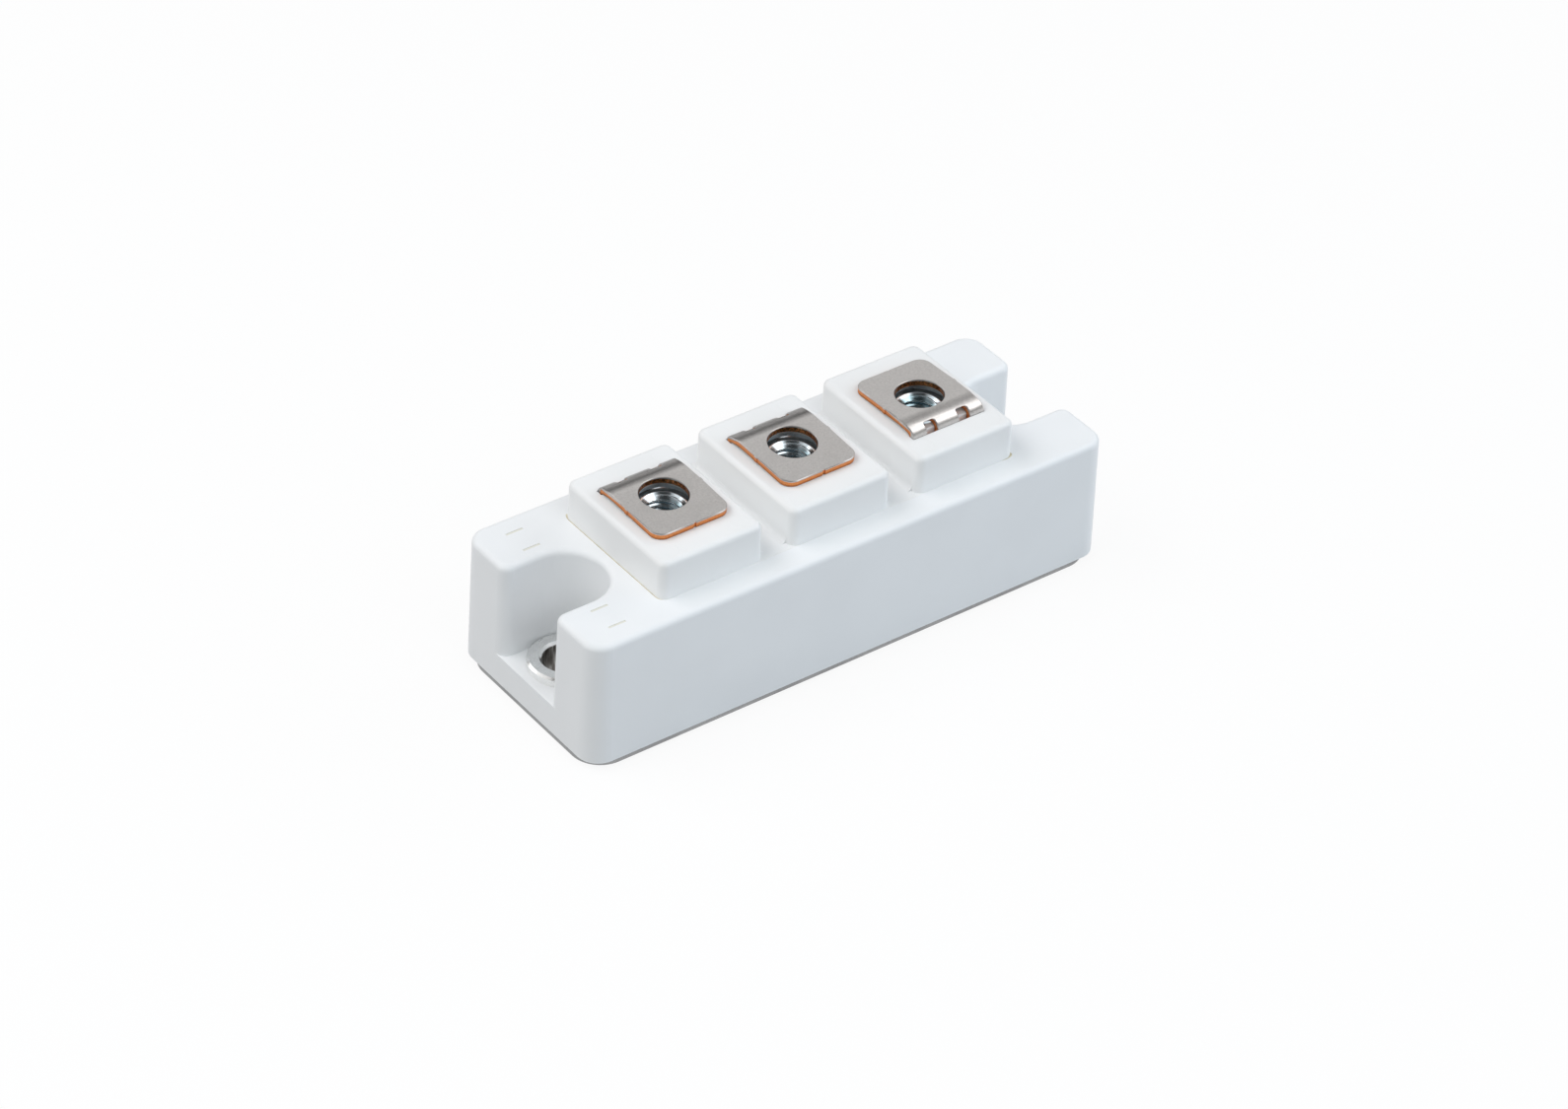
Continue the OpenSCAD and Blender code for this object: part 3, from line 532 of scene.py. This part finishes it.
def rolled_strip(name, node, turned, radius):
    """A copy of a terminal whose outer edges, above the pedestal, are rounded as a die rounds them,
    and whose nick is shallower. It carries each point's depth below the outer face as an
    attribute."""
    mesh = NODES[node].data.copy()
    mesh.name = name
    shape = bmesh.new()
    shape.from_mesh(mesh)
    bmesh.ops.remove_doubles(shape, verts=shape.verts[:], dist=0.001 * MM)
    bmesh.ops.dissolve_limit(
        shape, angle_limit=math.radians(0.5), verts=shape.verts[:], edges=shape.edges[:]
    )
    for vert in shape.verts:
        x, y = vert.co.x / MM, vert.co.y / MM
        nicked = off_centre(x) < NICK_HALF_W and NICK_SPAN[0] < abs(y) < NICK_SPAN[1]
        if nicked and (y > 0) == turned:
            vert.co.y += math.copysign(NICK_FILL * MM, y)
    shape.verts.index_update()
    points = np.array([v.co for v in shape.verts], float).reshape(-1, 3)
    outer = (strip_depth(points, turned) < ROLL_DEPTH) & (points[:, 2] > ROLL_Z * MM)
    edges = [
        e for e in shape.edges
        if e.is_manifold and outer[e.verts[0].index] and outer[e.verts[1].index]
        and e.calc_face_angle(0.0) > ROLL_ANGLE and not stamped(e)
    ]
    if not edges:
        raise RuntimeError(f"no outer edges found on {node}")
    bmesh.ops.bevel(
        shape, geom=edges, offset=radius, offset_type="OFFSET", segments=ROLL_FACES, profile=0.5,
        clamp_overlap=False, affect="EDGES",
    )
    shape.to_mesh(mesh)
    shape.free()
    mesh.materials.clear()
    mesh.shade_smooth()
    mesh.set_sharp_from_angle(angle=math.radians(32))
    depth = mesh.attributes.new("strip_depth", "FLOAT", "POINT")
    depth.data.foreach_set("value", strip_depth(mesh_points(mesh), turned).astype(np.float32))
    piece = bpy.data.objects.new(name, mesh)
    bpy.context.scene.collection.objects.link(piece)
    even = piece.modifiers.new("flat_faces", "WEIGHTED_NORMAL")
    even.keep_sharp = True
    even.weight = 100
    return piece


def plated_strip(settings):
    """Satin nickel on copper strip: fine rolling lines along Y, a mottled plating that falls off a
    little more towards the bend, and bare copper on the sheared edges below the roll-over, with
    fine upright shear lines and a torn lower third. The copper round each screw is darkened in
    patches as painted shade."""
    nickel, copper = tuple(settings.nickel), tuple(settings.copper)
    finish = Finish.surface("plated_strip", Metallic=1.0)
    x, y, z = finish.axes()
    depth = finish.add("ShaderNodeAttribute", {"attribute_name": "strip_depth"}, out="Fac")
    wobble = finish.noise(0.5) * 0.1
    d = settings.plated_depth / MM
    cut = (depth + wobble).step(d, d + 0.1) * depth.step(0.99, 0.95)
    rolling = finish.noise(0.10, where=finish.vector(x, y * 0.04, z))
    mottle = finish.noise(0.35, detail=4.0, roughness=0.65)
    cloud = finish.noise(4.0, detail=3.0)
    plating = finish.mix(mottle.step(0.3, 0.75), tint(nickel, 0.90), tint(nickel, 1.07))
    plating = finish.mix(cloud.step(0.45, 0.75) * 0.35, plating, tint(nickel, 0.87))
    shear = finish.noise(0.06, where=finish.vector(x, y, z * 0.08))
    bare = finish.mix(shear.step(0.25, 0.8), tint(copper, 0.8), tint(copper, 1.1))
    torn = depth.step(0.62, 0.74)
    bare = finish.mix(torn * 0.45, bare, tint(copper, 0.5))
    hole_shade = (x - (x / TERMINAL_PITCH).rounded() * TERMINAL_PITCH).length(y).step(*HOLE_SHADE_EDGE)
    # Painted shade: the copper wall round each screw is darkened in patches
    bare = finish.mix(hole_shade * mottle.step(0.60, 0.42) * 0.85, bare, tint(copper, 0.12))
    finish.feed(
        Base_Color=finish.mix(cut, plating, bare),
        Roughness=(rolling * 0.10 + mottle * 0.12 + (settings.roughness - 0.1)) * (1.0 - cut)
        + (0.36 + torn * 0.2 + shear * 0.1 - hole_shade * 0.12) * cut,
    )
    third = x.step(TERMINAL_PITCH / 2 - 0.5, TERMINAL_PITCH / 2 + 0.5)
    along = (y * (1.0 - third * 2.0) - settings.bend_start / MM).most(0.0)
    flat = rolling * 0.0006 + mottle * 0.0022 - along * along * settings.bend_fall
    rough = shear * 0.004 + torn * mottle * 0.02
    return finish.relief(flat * (1.0 - cut) + rough * cut)


class MODULE_OT_terminals(bpy.types.Operator):
    """Make the three plated terminals with rolled edges"""

    bl_idname = "module.terminals"
    bl_label = "Terminals"

    def execute(self, context):
        settings = context.scene.module_terminals
        finish = plated_strip(settings)
        for number in (1, 2, 3):
            node = f"terminal_{number}"
            piece = rolled_strip(f"{node}_plated", node, number == 3, settings.roll_over)
            dress(finish, piece.name)
            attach(piece, "root")
            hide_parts(node)
        return {"FINISHED"}


def ring_mesh(rings):
    """Points and faces from an array of rings: rings[v, t] is the point of section place v at turn
    t. Both directions wrap round, and each face joins two neighbours of two neighbouring rings."""
    sections, steps = rings.shape[:2]
    index = np.arange(sections * steps).reshape(sections, steps)
    ahead, beside = np.roll(index, -1, 0), np.roll(index, -1, 1)
    faces = np.stack([index, beside, np.roll(ahead, -1, 1), ahead], -1).reshape(-1, 4)
    return rings.reshape(-1, 3), faces


def threaded_nut(centre, settings):
    """Points and faces of one nut, as rings of t round its axis.
    The outside is the hexagon's apothem over the cosine of the angle from the nearest flat, eased
    at the corners by a chamfer that falls with the distance past the flats. The bore's radius is
    the largest of the thread's and the two countersinks'. The thread's radius rises and falls as a
    clipped triangle wave of height over pitch less turns."""
    turn = np.linspace(0, 2 * math.pi, settings.steps, endpoint=False)
    flat_r = NUT_AF / 2
    outer = flat_r / np.cos(np.mod(turn, math.pi / 3) - math.pi / 6)
    ease = NUT_CHAMFER * (outer - flat_r) / (2 * flat_r / math.sqrt(3) - flat_r)
    seat_r = np.full_like(turn, flat_r - NUT_SEAT_INSET)
    skirt = [
        (seat_r, np.zeros_like(turn)), (outer, ease + NUT_RIM),
        (outer, NUT_H - ease - NUT_RIM), (seat_r, np.full_like(turn, NUT_H)),
    ]
    height = np.linspace(NUT_H, 0, settings.rows)[:, None]
    wave = np.mod(height / (settings.pitch / MM) - turn / (2 * math.pi), 1.0)
    groove = np.clip(GROOVE_SLOPE * (0.5 - np.abs(wave - 0.5)) - GROOVE_CREST, 0.0, 1.0)
    lead_in = np.maximum(NUT_MOUTH_R - (NUT_H - height), NUT_MOUTH_R - height)
    bore = np.maximum(NUT_MINOR_R + settings.depth / MM * groove, lead_in)
    radius = np.vstack([[r for r, _ in skirt], bore])
    level = np.vstack([[h for _, h in skirt], np.broadcast_to(height, bore.shape)])
    rings = np.stack([
        centre[0] + radius * np.cos(turn), centre[1] + radius * np.sin(turn), NUT_Z + level
    ], -1)
    return ring_mesh(rings * MM)


def merged_piece(name, parts, sharp):
    """One object from several lists of points and faces, smooth up to an angle in degrees."""
    starts = np.cumsum([0] + [len(points) for points, _ in parts[:-1]])
    points = np.vstack([p for p, _ in parts])
    faces = np.vstack([f + start for (_, f), start in zip(parts, starts)])
    mesh = bpy.data.meshes.new(name)
    mesh.from_pydata(points.tolist(), [], faces.tolist())
    mesh.shade_smooth()
    mesh.set_sharp_from_angle(angle=math.radians(sharp))
    piece = bpy.data.objects.new(name, mesh)
    bpy.context.scene.collection.objects.link(piece)
    return piece


def zinc_plate(settings):
    """Blue-white zinc on steel: bright, slightly cloudy, with a faint yellow bloom and fine drag
    lines, and darkened down in the thread as painted shade."""
    zinc = tuple(settings.zinc)
    finish = Finish.surface("zinc_plate", Metallic=1.0)
    x, y, z = finish.axes()
    cloud = finish.noise(1.6, detail=3.0)
    speck = finish.noise(0.25, detail=3.0, roughness=0.6)
    drag = finish.noise(0.09, where=finish.vector(x * 0.1, y * 0.1, z))
    tone = finish.mix(cloud.step(0.3, 0.7), tint(zinc, 0.86), tint(zinc, 1.08))
    tone = finish.mix(speck.step(0.66, 0.8) * 0.4, tone, tuple(settings.bloom))
    radius = (x - (x / TERMINAL_PITCH).rounded() * TERMINAL_PITCH).length(y)
    # Painted shade: the zinc is darkened down in the bore's thread
    shade = radius.step(NUT_MOUTH_R - 0.3, NUT_MOUTH_R - 0.75)
    tone = finish.mix(shade * 0.75, tone, tuple(settings.shade))
    finish.feed(Base_Color=tone, Roughness=cloud * 0.10 + speck * 0.06 + 0.10)
    return finish.relief(drag * 0.004 + speck * 0.004)


class MODULE_OT_nuts(bpy.types.Operator):
    """Make the three captive nuts with their threads"""

    bl_idname = "module.nuts"
    bl_label = "Nuts"

    def execute(self, context):
        settings = context.scene.module_nuts
        centres = [(-TERMINAL_PITCH, SCREW_Y), (0.0, SCREW_Y), (TERMINAL_PITCH, -SCREW_Y)]
        nuts = [threaded_nut(centre, settings) for centre in centres]
        piece = merged_piece("threaded_nuts", nuts, sharp=50)
        dress(zinc_plate(settings), piece.name)
        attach(piece, "root")
        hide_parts("terminal_nuts")
        return {"FINISHED"}


class MODULE_OT_bushes(bpy.types.Operator):
    """Give the mounting bushes a turned finish, polished and lightened as a painted highlight at
    the bore's lip, and darkened in streaks as painted shade and reflection in the bore
    """

    bl_idname = "module.bushes"
    bl_label = "Mounting bushes"

    def execute(self, context):
        settings = context.scene.module_metals
        bush = tuple(settings.bush)
        finish = Finish.surface("turned_bush", Metallic=1.0)
        x, y, z = finish.axes()
        radius = (abs(x) - MOUNT_X).length(y)
        turned = finish.noise(0.11, where=finish.vector(radius, z, x * 0.02))
        cloud = finish.noise(1.8, detail=3.0)
        scuff = finish.noise(0.5, detail=4.0, roughness=0.7)
        reflection_streak = finish.noise(0.35, detail=3.0, where=finish.vector(x, y, z * 0.12))
        bore = radius.step(BUSH_BORE_R + 0.12, BUSH_BORE_R + 0.02)
        polish_and_highlight = radius.step(BUSH_BORE_R + 0.5, BUSH_BORE_R + 0.4) * (1.0 - bore)
        polish_and_highlight = polish_and_highlight * z.step(BUSH_TOP_Z - 0.6, BUSH_TOP_Z - 0.5)
        tone = finish.mix(cloud.step(0.3, 0.75), tint(bush, 0.95), tint(bush, 1.03))
        # Polished lip of the bore, whose colour is also lightened as a painted highlight
        tone = finish.mix(polish_and_highlight * 0.7, tone, tint(bush, 1.15))
        # Painted shade and reflection: the bore is darkened in streaks
        tone = finish.mix(bore * reflection_streak.step(0.1, 0.65) * 0.95, tone, tuple(settings.bore_shade))
        rough = turned * 0.12 + scuff * 0.12 + bore * 0.12 - polish_and_highlight * 0.06
        finish.feed(Base_Color=tone, Roughness=rough + (settings.bush_roughness - 0.1))
        dress(finish.relief(turned * 0.002 + scuff * 0.001), "mounting_bushes")
        return {"FINISHED"}


class MODULE_OT_base_plate(bpy.types.Operator):
    """Give the base plate its ground and plated finish"""

    bl_idname = "module.base_plate"
    bl_label = "Base plate"

    def execute(self, context):
        settings = context.scene.module_metals
        plate = tuple(settings.plate)
        finish = Finish.surface("plated_base", Metallic=1.0)
        x, y, z = finish.axes()
        ground = finish.noise(0.10, where=finish.vector(x * 0.03, y, z))
        shear = finish.noise(0.15, where=finish.vector(x, y, z * 0.1))
        cloud = finish.noise(7.0, detail=3.0)
        mottle = finish.noise(0.5, detail=4.0, roughness=0.65)
        side = z.step(0.05, 0.15)
        tone = finish.mix(cloud.step(0.3, 0.7), tint(plate, 0.88), tint(plate, 1.08))
        tone = finish.mix(side * shear.step(0.35, 0.75) * 0.4, tone, tint(plate, 0.7))
        finish.feed(
            Base_Color=tone,
            Roughness=mottle * 0.16 + cloud * 0.06 + side * 0.1 + (settings.plate_roughness - 0.1),
        )
        relief = ground * 0.002 * (1.0 - side) + shear * side * 0.006 + mottle * 0.002
        dress(finish.relief(relief), "base_plate")
        return {"FINISHED"}


def cured_adhesive(settings):
    """Filled silicone adhesive: dull and slightly grainy, whitish except at the block's left end
    and at the two corners where it was squeezed out."""
    base = tuple(settings.adhesive)
    finish = Finish.surface("cured_adhesive", Specular_IOR_Level=0.35)
    x, y, _ = finish.axes()
    cloud = finish.noise(1.5, detail=3.0)
    grain = finish.noise(0.2, detail=3.0, roughness=0.6)
    tone = finish.mix(cloud.step(0.3, 0.7), tint(base, 0.85), tint(base, 1.15))
    corner = (x - (BLOCK_HALF[0] - 0.3)).length(y + (BLOCK_HALF[1] - 0.3)).step(2.2, 1.2)
    tan = x.step(0.6 - BLOCK_HALF[0], -BLOCK_HALF[0]).most(corner)
    tone = finish.mix(tan, tuple(settings.filler), tone)
    finish.feed(Base_Color=tone, Roughness=grain * 0.2 + 0.45)
    return finish.relief(grain * 0.02)


def rounded_path(half_x, half_y, r, count):
    """Points, outward normals and run lengths, evenly spaced round a rectangle with round corners:
    each corner's points are its middle plus the radius times the cosine and sine of the turn."""
    corners = [
        (half_x - r, half_y - r, 0), (r - half_x, half_y - r, 90),
        (r - half_x, r - half_y, 180), (half_x - r, r - half_y, 270),
    ]
    arc = np.linspace(0, math.pi / 2, 13)
    angles = np.concatenate([math.radians(a) + arc for _, _, a in corners])
    middles = np.repeat([(cx, cy) for cx, cy, _ in corners], len(arc), axis=0)
    normals = np.stack([np.cos(angles), np.sin(angles)], -1)
    points = middles + r * normals
    points, normals = np.vstack([points, points[:1]]), np.vstack([normals, normals[:1]])
    run = np.concatenate([[0], np.cumsum(np.hypot(*np.diff(points, axis=0).T))])
    at = np.linspace(0, run[-1], count, endpoint=False)
    path = np.stack([np.interp(at, run, points[:, i]) for i in (0, 1)], -1)
    out = np.stack([np.interp(at, run, normals[:, i]) for i in (0, 1)], -1)
    return path, out / np.linalg.norm(out, axis=1, keepdims=True), at


def seam_bead():
    """Adhesive in the seam between block and housing: a flat-topped bead carried round the block's
    outline. Its top follows a sum of sines along the seam, so it stands at uneven depths in the
    gap, and it swells as a bell curve at two opposite corners, where it was squeezed out."""
    half = SEAM_GAP / 2
    path, out, run = rounded_path(
        BLOCK_HALF[0] + half, BLOCK_HALF[1] + half, BLOCK_CORNER_R + half, BEAD_STEPS
    )
    along = run * 2 * math.pi / (run[-1] + run[1])
    top = TOP_Z - BEAD_SINK + 0.006 * np.sin(7 * along) + 0.004 * np.sin(19 * along + 1.3)
    top = top + 0.004 * np.sin(43 * along + 0.4)
    corner = (BLOCK_HALF[0] - SWELL_INSET, BLOCK_HALF[1] - SWELL_INSET)
    near = np.minimum(
        np.hypot(path[:, 0] + corner[0], path[:, 1] - corner[1]),
        np.hypot(path[:, 0] - corner[0], path[:, 1] + corner[1]),
    )
    swell = np.exp(-((near / SWELL_REACH) ** 2))
    section = [
        (1.0, -BEAD_DEPTH), (1.0, -0.01), (0.4, 0.0),
        (-0.4, 0.0), (-1.0, -0.01), (-1.0, -BEAD_DEPTH),
    ]
    rings = []
    for across, lift in section:
        risen = swell * (lift > -BEAD_DEPTH)
        aside = across * half + risen * SWELL_SPREAD * (across + 1.0)
        level = top + lift + risen * SWELL_LIFT
        rings.append(np.column_stack([path + out * aside[:, None], level]))
    return ring_mesh(np.stack(rings) * MM)


class MODULE_OT_seals(bpy.types.Operator):
    """Give the adhesive its finish and lay the bead that shows in the seam"""

    bl_idname = "module.seals"
    bl_label = "Adhesive"

    def execute(self, context):
        finish = cured_adhesive(context.scene.module_inside)
        piece = merged_piece("seam_adhesive", [seam_bead()], sharp=40)
        dress(finish, "base_seal", "block_seal", piece.name)
        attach(piece, "root")
        return {"FINISHED"}


def plain_finish(name, base, roughness, metallic, grain, depth):
    """A simple finish with an uneven tone and a fine grain."""
    finish = Finish.surface(name, Metallic=metallic)
    cloud = finish.noise(3.0, detail=3.0)
    fine = finish.noise(grain, detail=3.0)
    tone = finish.mix(cloud.step(0.3, 0.7), tint(base, 0.88), tint(base, 1.08))
    finish.feed(Base_Color=tone, Roughness=fine * 0.15 + (roughness - 0.07))
    return finish.relief(fine * depth)


class MODULE_OT_inside(bpy.types.Operator):
    """Give the pieces inside the housing their finishes"""

    bl_idname = "module.inside"
    bl_label = "Inside"

    def execute(self, context):
        settings = context.scene.module_inside
        for name, tone, roughness, metallic, grain, depth, nodes in INSIDE:
            base = tuple(getattr(settings, tone))
            dress(plain_finish(name, base, roughness, metallic, grain, depth), *nodes)
        return {"FINISHED"}


def stage_piece(name, points, faces, finish):
    """A piece of the stage from points in metres and faces."""
    mesh = bpy.data.meshes.new(name)
    mesh.from_pydata(np.asarray(points).tolist(), [], np.asarray(faces).tolist())
    mesh.materials.append(finish.owner)
    piece = bpy.data.objects.new(name, mesh)
    bpy.context.scene.collection.objects.link(piece)
    return piece


def soft_light(name, place, watts, tone):
    """A square soft light at a place, facing the module. Metal sees the tent in its stead."""
    lamp = bpy.data.lights.new(name, "AREA")
    lamp.shape, lamp.size = "SQUARE", LAMP_WIDTH
    lamp.energy, lamp.color = watts, tone
    light = bpy.data.objects.new(name, lamp)
    light.visible_glossy = False
    bpy.context.scene.collection.objects.link(light)
    light.location = place
    light.rotation_mode = "QUATERNION"
    light.rotation_quaternion = (LAMP_AIM - Vector(place)).to_track_quat("-Z", "Y")


def seen_rays(finish):
    """Which rays look at the background: from the camera, from metal and through glass."""
    path = finish.add("ShaderNodeLightPath")
    return finish.outputs(path, "Is Camera Ray", "Is Glossy Ray", "Is Transmission Ray")


def white_floor(settings):
    """A pale floor that shows the background's white to the eye and keeps a soft shadow."""
    finish = Finish.surface("pale_floor", Roughness=0.9, Specular_IOR_Level=0.1)
    seen, glossy, through = seen_rays(finish)
    finish.feed(Base_Color=finish.mix(seen, (settings.bounce,) * 3, tuple(settings.floor)))
    white = finish.add("ShaderNodeEmission", {}, {"Color": (1.0, 1.0, 1.0), "Strength": 1.0})
    amount = seen.most(glossy).most(through) * settings.glow
    shown = finish.add("ShaderNodeMixShader", {}, (amount, finish.shader, white))
    below = finish.add("ShaderNodeNewGeometry", out="Backfacing")
    clear = finish.add("ShaderNodeBsdfTransparent")
    return finish.show(finish.add("ShaderNodeMixShader", {}, (below, shown, clear)))


def white_world(settings):
    """Even light from all round, white where it is seen directly or in metal."""
    finish = Finish(bpy.data.worlds.new("studio"))
    seen, glossy, through = seen_rays(finish)
    ambient = tuple(settings.ambient)
    soft = finish.add("ShaderNodeBackground", {}, {"Color": ambient, "Strength": 1.0})
    white = finish.add("ShaderNodeBackground", {}, {"Color": (1.0, 1.0, 1.0), "Strength": 1.0})
    amount = seen.most(glossy).most(through)
    finish.show(finish.add("ShaderNodeMixShader", {}, (amount, soft, white)))
    bpy.context.scene.world = finish.owner


def studio_tent():
    """A dome that only metal sees: rings of turn and rise, each point the radius times the sine and
    cosine of both. Its grey level follows its rise: dark low down, pale at a slant and dark above,
    with bright panels and a dark one round given directions."""
    turn = np.linspace(0, 2 * math.pi, TENT_SHAPE[1], endpoint=False)
    rise = np.linspace(0, math.pi / 2, TENT_SHAPE[0])[:, None]
    ring = np.broadcast_to(np.cos(rise), TENT_SHAPE)
    points = TENT_R * np.stack([
        ring * np.cos(turn), ring * np.sin(turn), np.broadcast_to(np.sin(rise), TENT_SHAPE)
    ], -1)
    index = np.arange(ring.size).reshape(TENT_SHAPE)
    beside = np.roll(index, -1, 1)
    faces = np.stack([index[:-1], index[1:], beside[1:], beside[:-1]], -1).reshape(-1, 4)
    finish = Finish(bpy.data.materials.new("studio_tent"))
    x, y, z = [axis / (TENT_R / MM) for axis in finish.axes()]
    level = z.step(*TENT_RISE) - z.step(*TENT_FALL)
    for azimuth, height, spread, gain in TENT_PANELS:
        heading, slope = math.radians(azimuth), math.radians(height)
        flat = math.cos(slope)
        along = x * (flat * math.cos(heading)) + y * (flat * math.sin(heading))
        along = along + z * math.sin(slope)
        outer, inner = (math.cos(math.radians(spread + edge)) for edge in (PANEL_EDGE, -PANEL_EDGE))
        level = level + along.step(outer, inner, (0.0, gain))
    level = level.most(TENT_LEAST)
    grey = finish.vector(level, level, level)
    finish.show(finish.add("ShaderNodeEmission", {}, {"Color": grey, "Strength": 1.0}))
    finish.owner.cycles.emission_sampling = "NONE"
    tent = stage_piece("studio_tent", points.reshape(-1, 3), faces, finish)
    for ray in ("camera", "diffuse", "transmission", "volume_scatter", "shadow"):
        setattr(tent, f"visible_{ray}", False)


class MODULE_OT_studio(bpy.types.Operator):
    """Set up the camera, the floor and the lights"""

    bl_idname = "module.studio"
    bl_label = "Studio"

    def execute(self, context):
        settings = context.scene.module_studio
        scene = context.scene
        lens = bpy.data.cameras.new("camera")
        lens.sensor_width, lens.lens = 36.0, settings.lens
        lens.clip_start, lens.clip_end = 0.01, 20.0
        camera = bpy.data.objects.new("camera", lens)
        scene.collection.objects.link(camera)
        camera.location, camera.rotation_euler = settings.eye, settings.aim
        scene.camera = camera
        signs = ((-1, -1), (1, -1), (1, 1), (-1, 1))
        corners = [(sx * FLOOR_HALF, sy * FLOOR_HALF, FLOOR_Z) for sx, sy in signs]
        stage_piece("floor", corners, [(0, 1, 2, 3)], white_floor(settings))
        white_world(settings)
        studio_tent()
        for name, place, tone in LAMPS:
            soft_light(f"{name}_light", place, getattr(settings, name), tone)
        scene.view_settings.view_transform = "Standard"
        return {"FINISHED"}


class MODULE_PT_panel(bpy.types.Panel):
    """Finishes and studio of the diode module"""

    bl_idname = "MODULE_PT_panel"
    bl_label = "Diode Module"
    bl_space_type = "VIEW_3D"
    bl_region_type = "UI"
    bl_category = "Diode Module"

    def draw(self, context):
        for name in SETTINGS:
            box = self.layout.box()
            group = getattr(context.scene, name)
            for key in group.bl_rna.properties.keys():
                if key not in ("rna_type", "name"):
                    box.prop(group, key)
        for operator in OPERATORS:
            self.layout.operator(operator.bl_idname)


SETTINGS = {
    "module_plastic": PlasticSettings,
    "module_terminals": TerminalSettings,
    "module_nuts": NutSettings,
    "module_metals": MetalSettings,
    "module_inside": InsideSettings,
    "module_studio": StudioSettings,
}
OPERATORS = (
    MODULE_OT_mouldings, MODULE_OT_terminals, MODULE_OT_nuts, MODULE_OT_bushes,
    MODULE_OT_base_plate, MODULE_OT_seals, MODULE_OT_inside, MODULE_OT_studio,
)
CLASSES = (*SETTINGS.values(), *OPERATORS, MODULE_PT_panel)


def register():
    for cls in CLASSES:
        bpy.utils.register_class(cls)
    for name, group in SETTINGS.items():
        setattr(bpy.types.Scene, name, PointerProperty(type=group))


def unregister():
    for name in SETTINGS:
        delattr(bpy.types.Scene, name)
    for cls in reversed(CLASSES):
        bpy.utils.unregister_class(cls)


def main():
    """Dresses the module and sets up the studio."""
    register()
    bpy.ops.module.mouldings()
    bpy.ops.module.terminals()
    bpy.ops.module.nuts()
    bpy.ops.module.bushes()
    bpy.ops.module.base_plate()
    bpy.ops.module.seals()
    bpy.ops.module.inside()
    bpy.ops.module.studio()


if __name__ == "__main__":
    main()
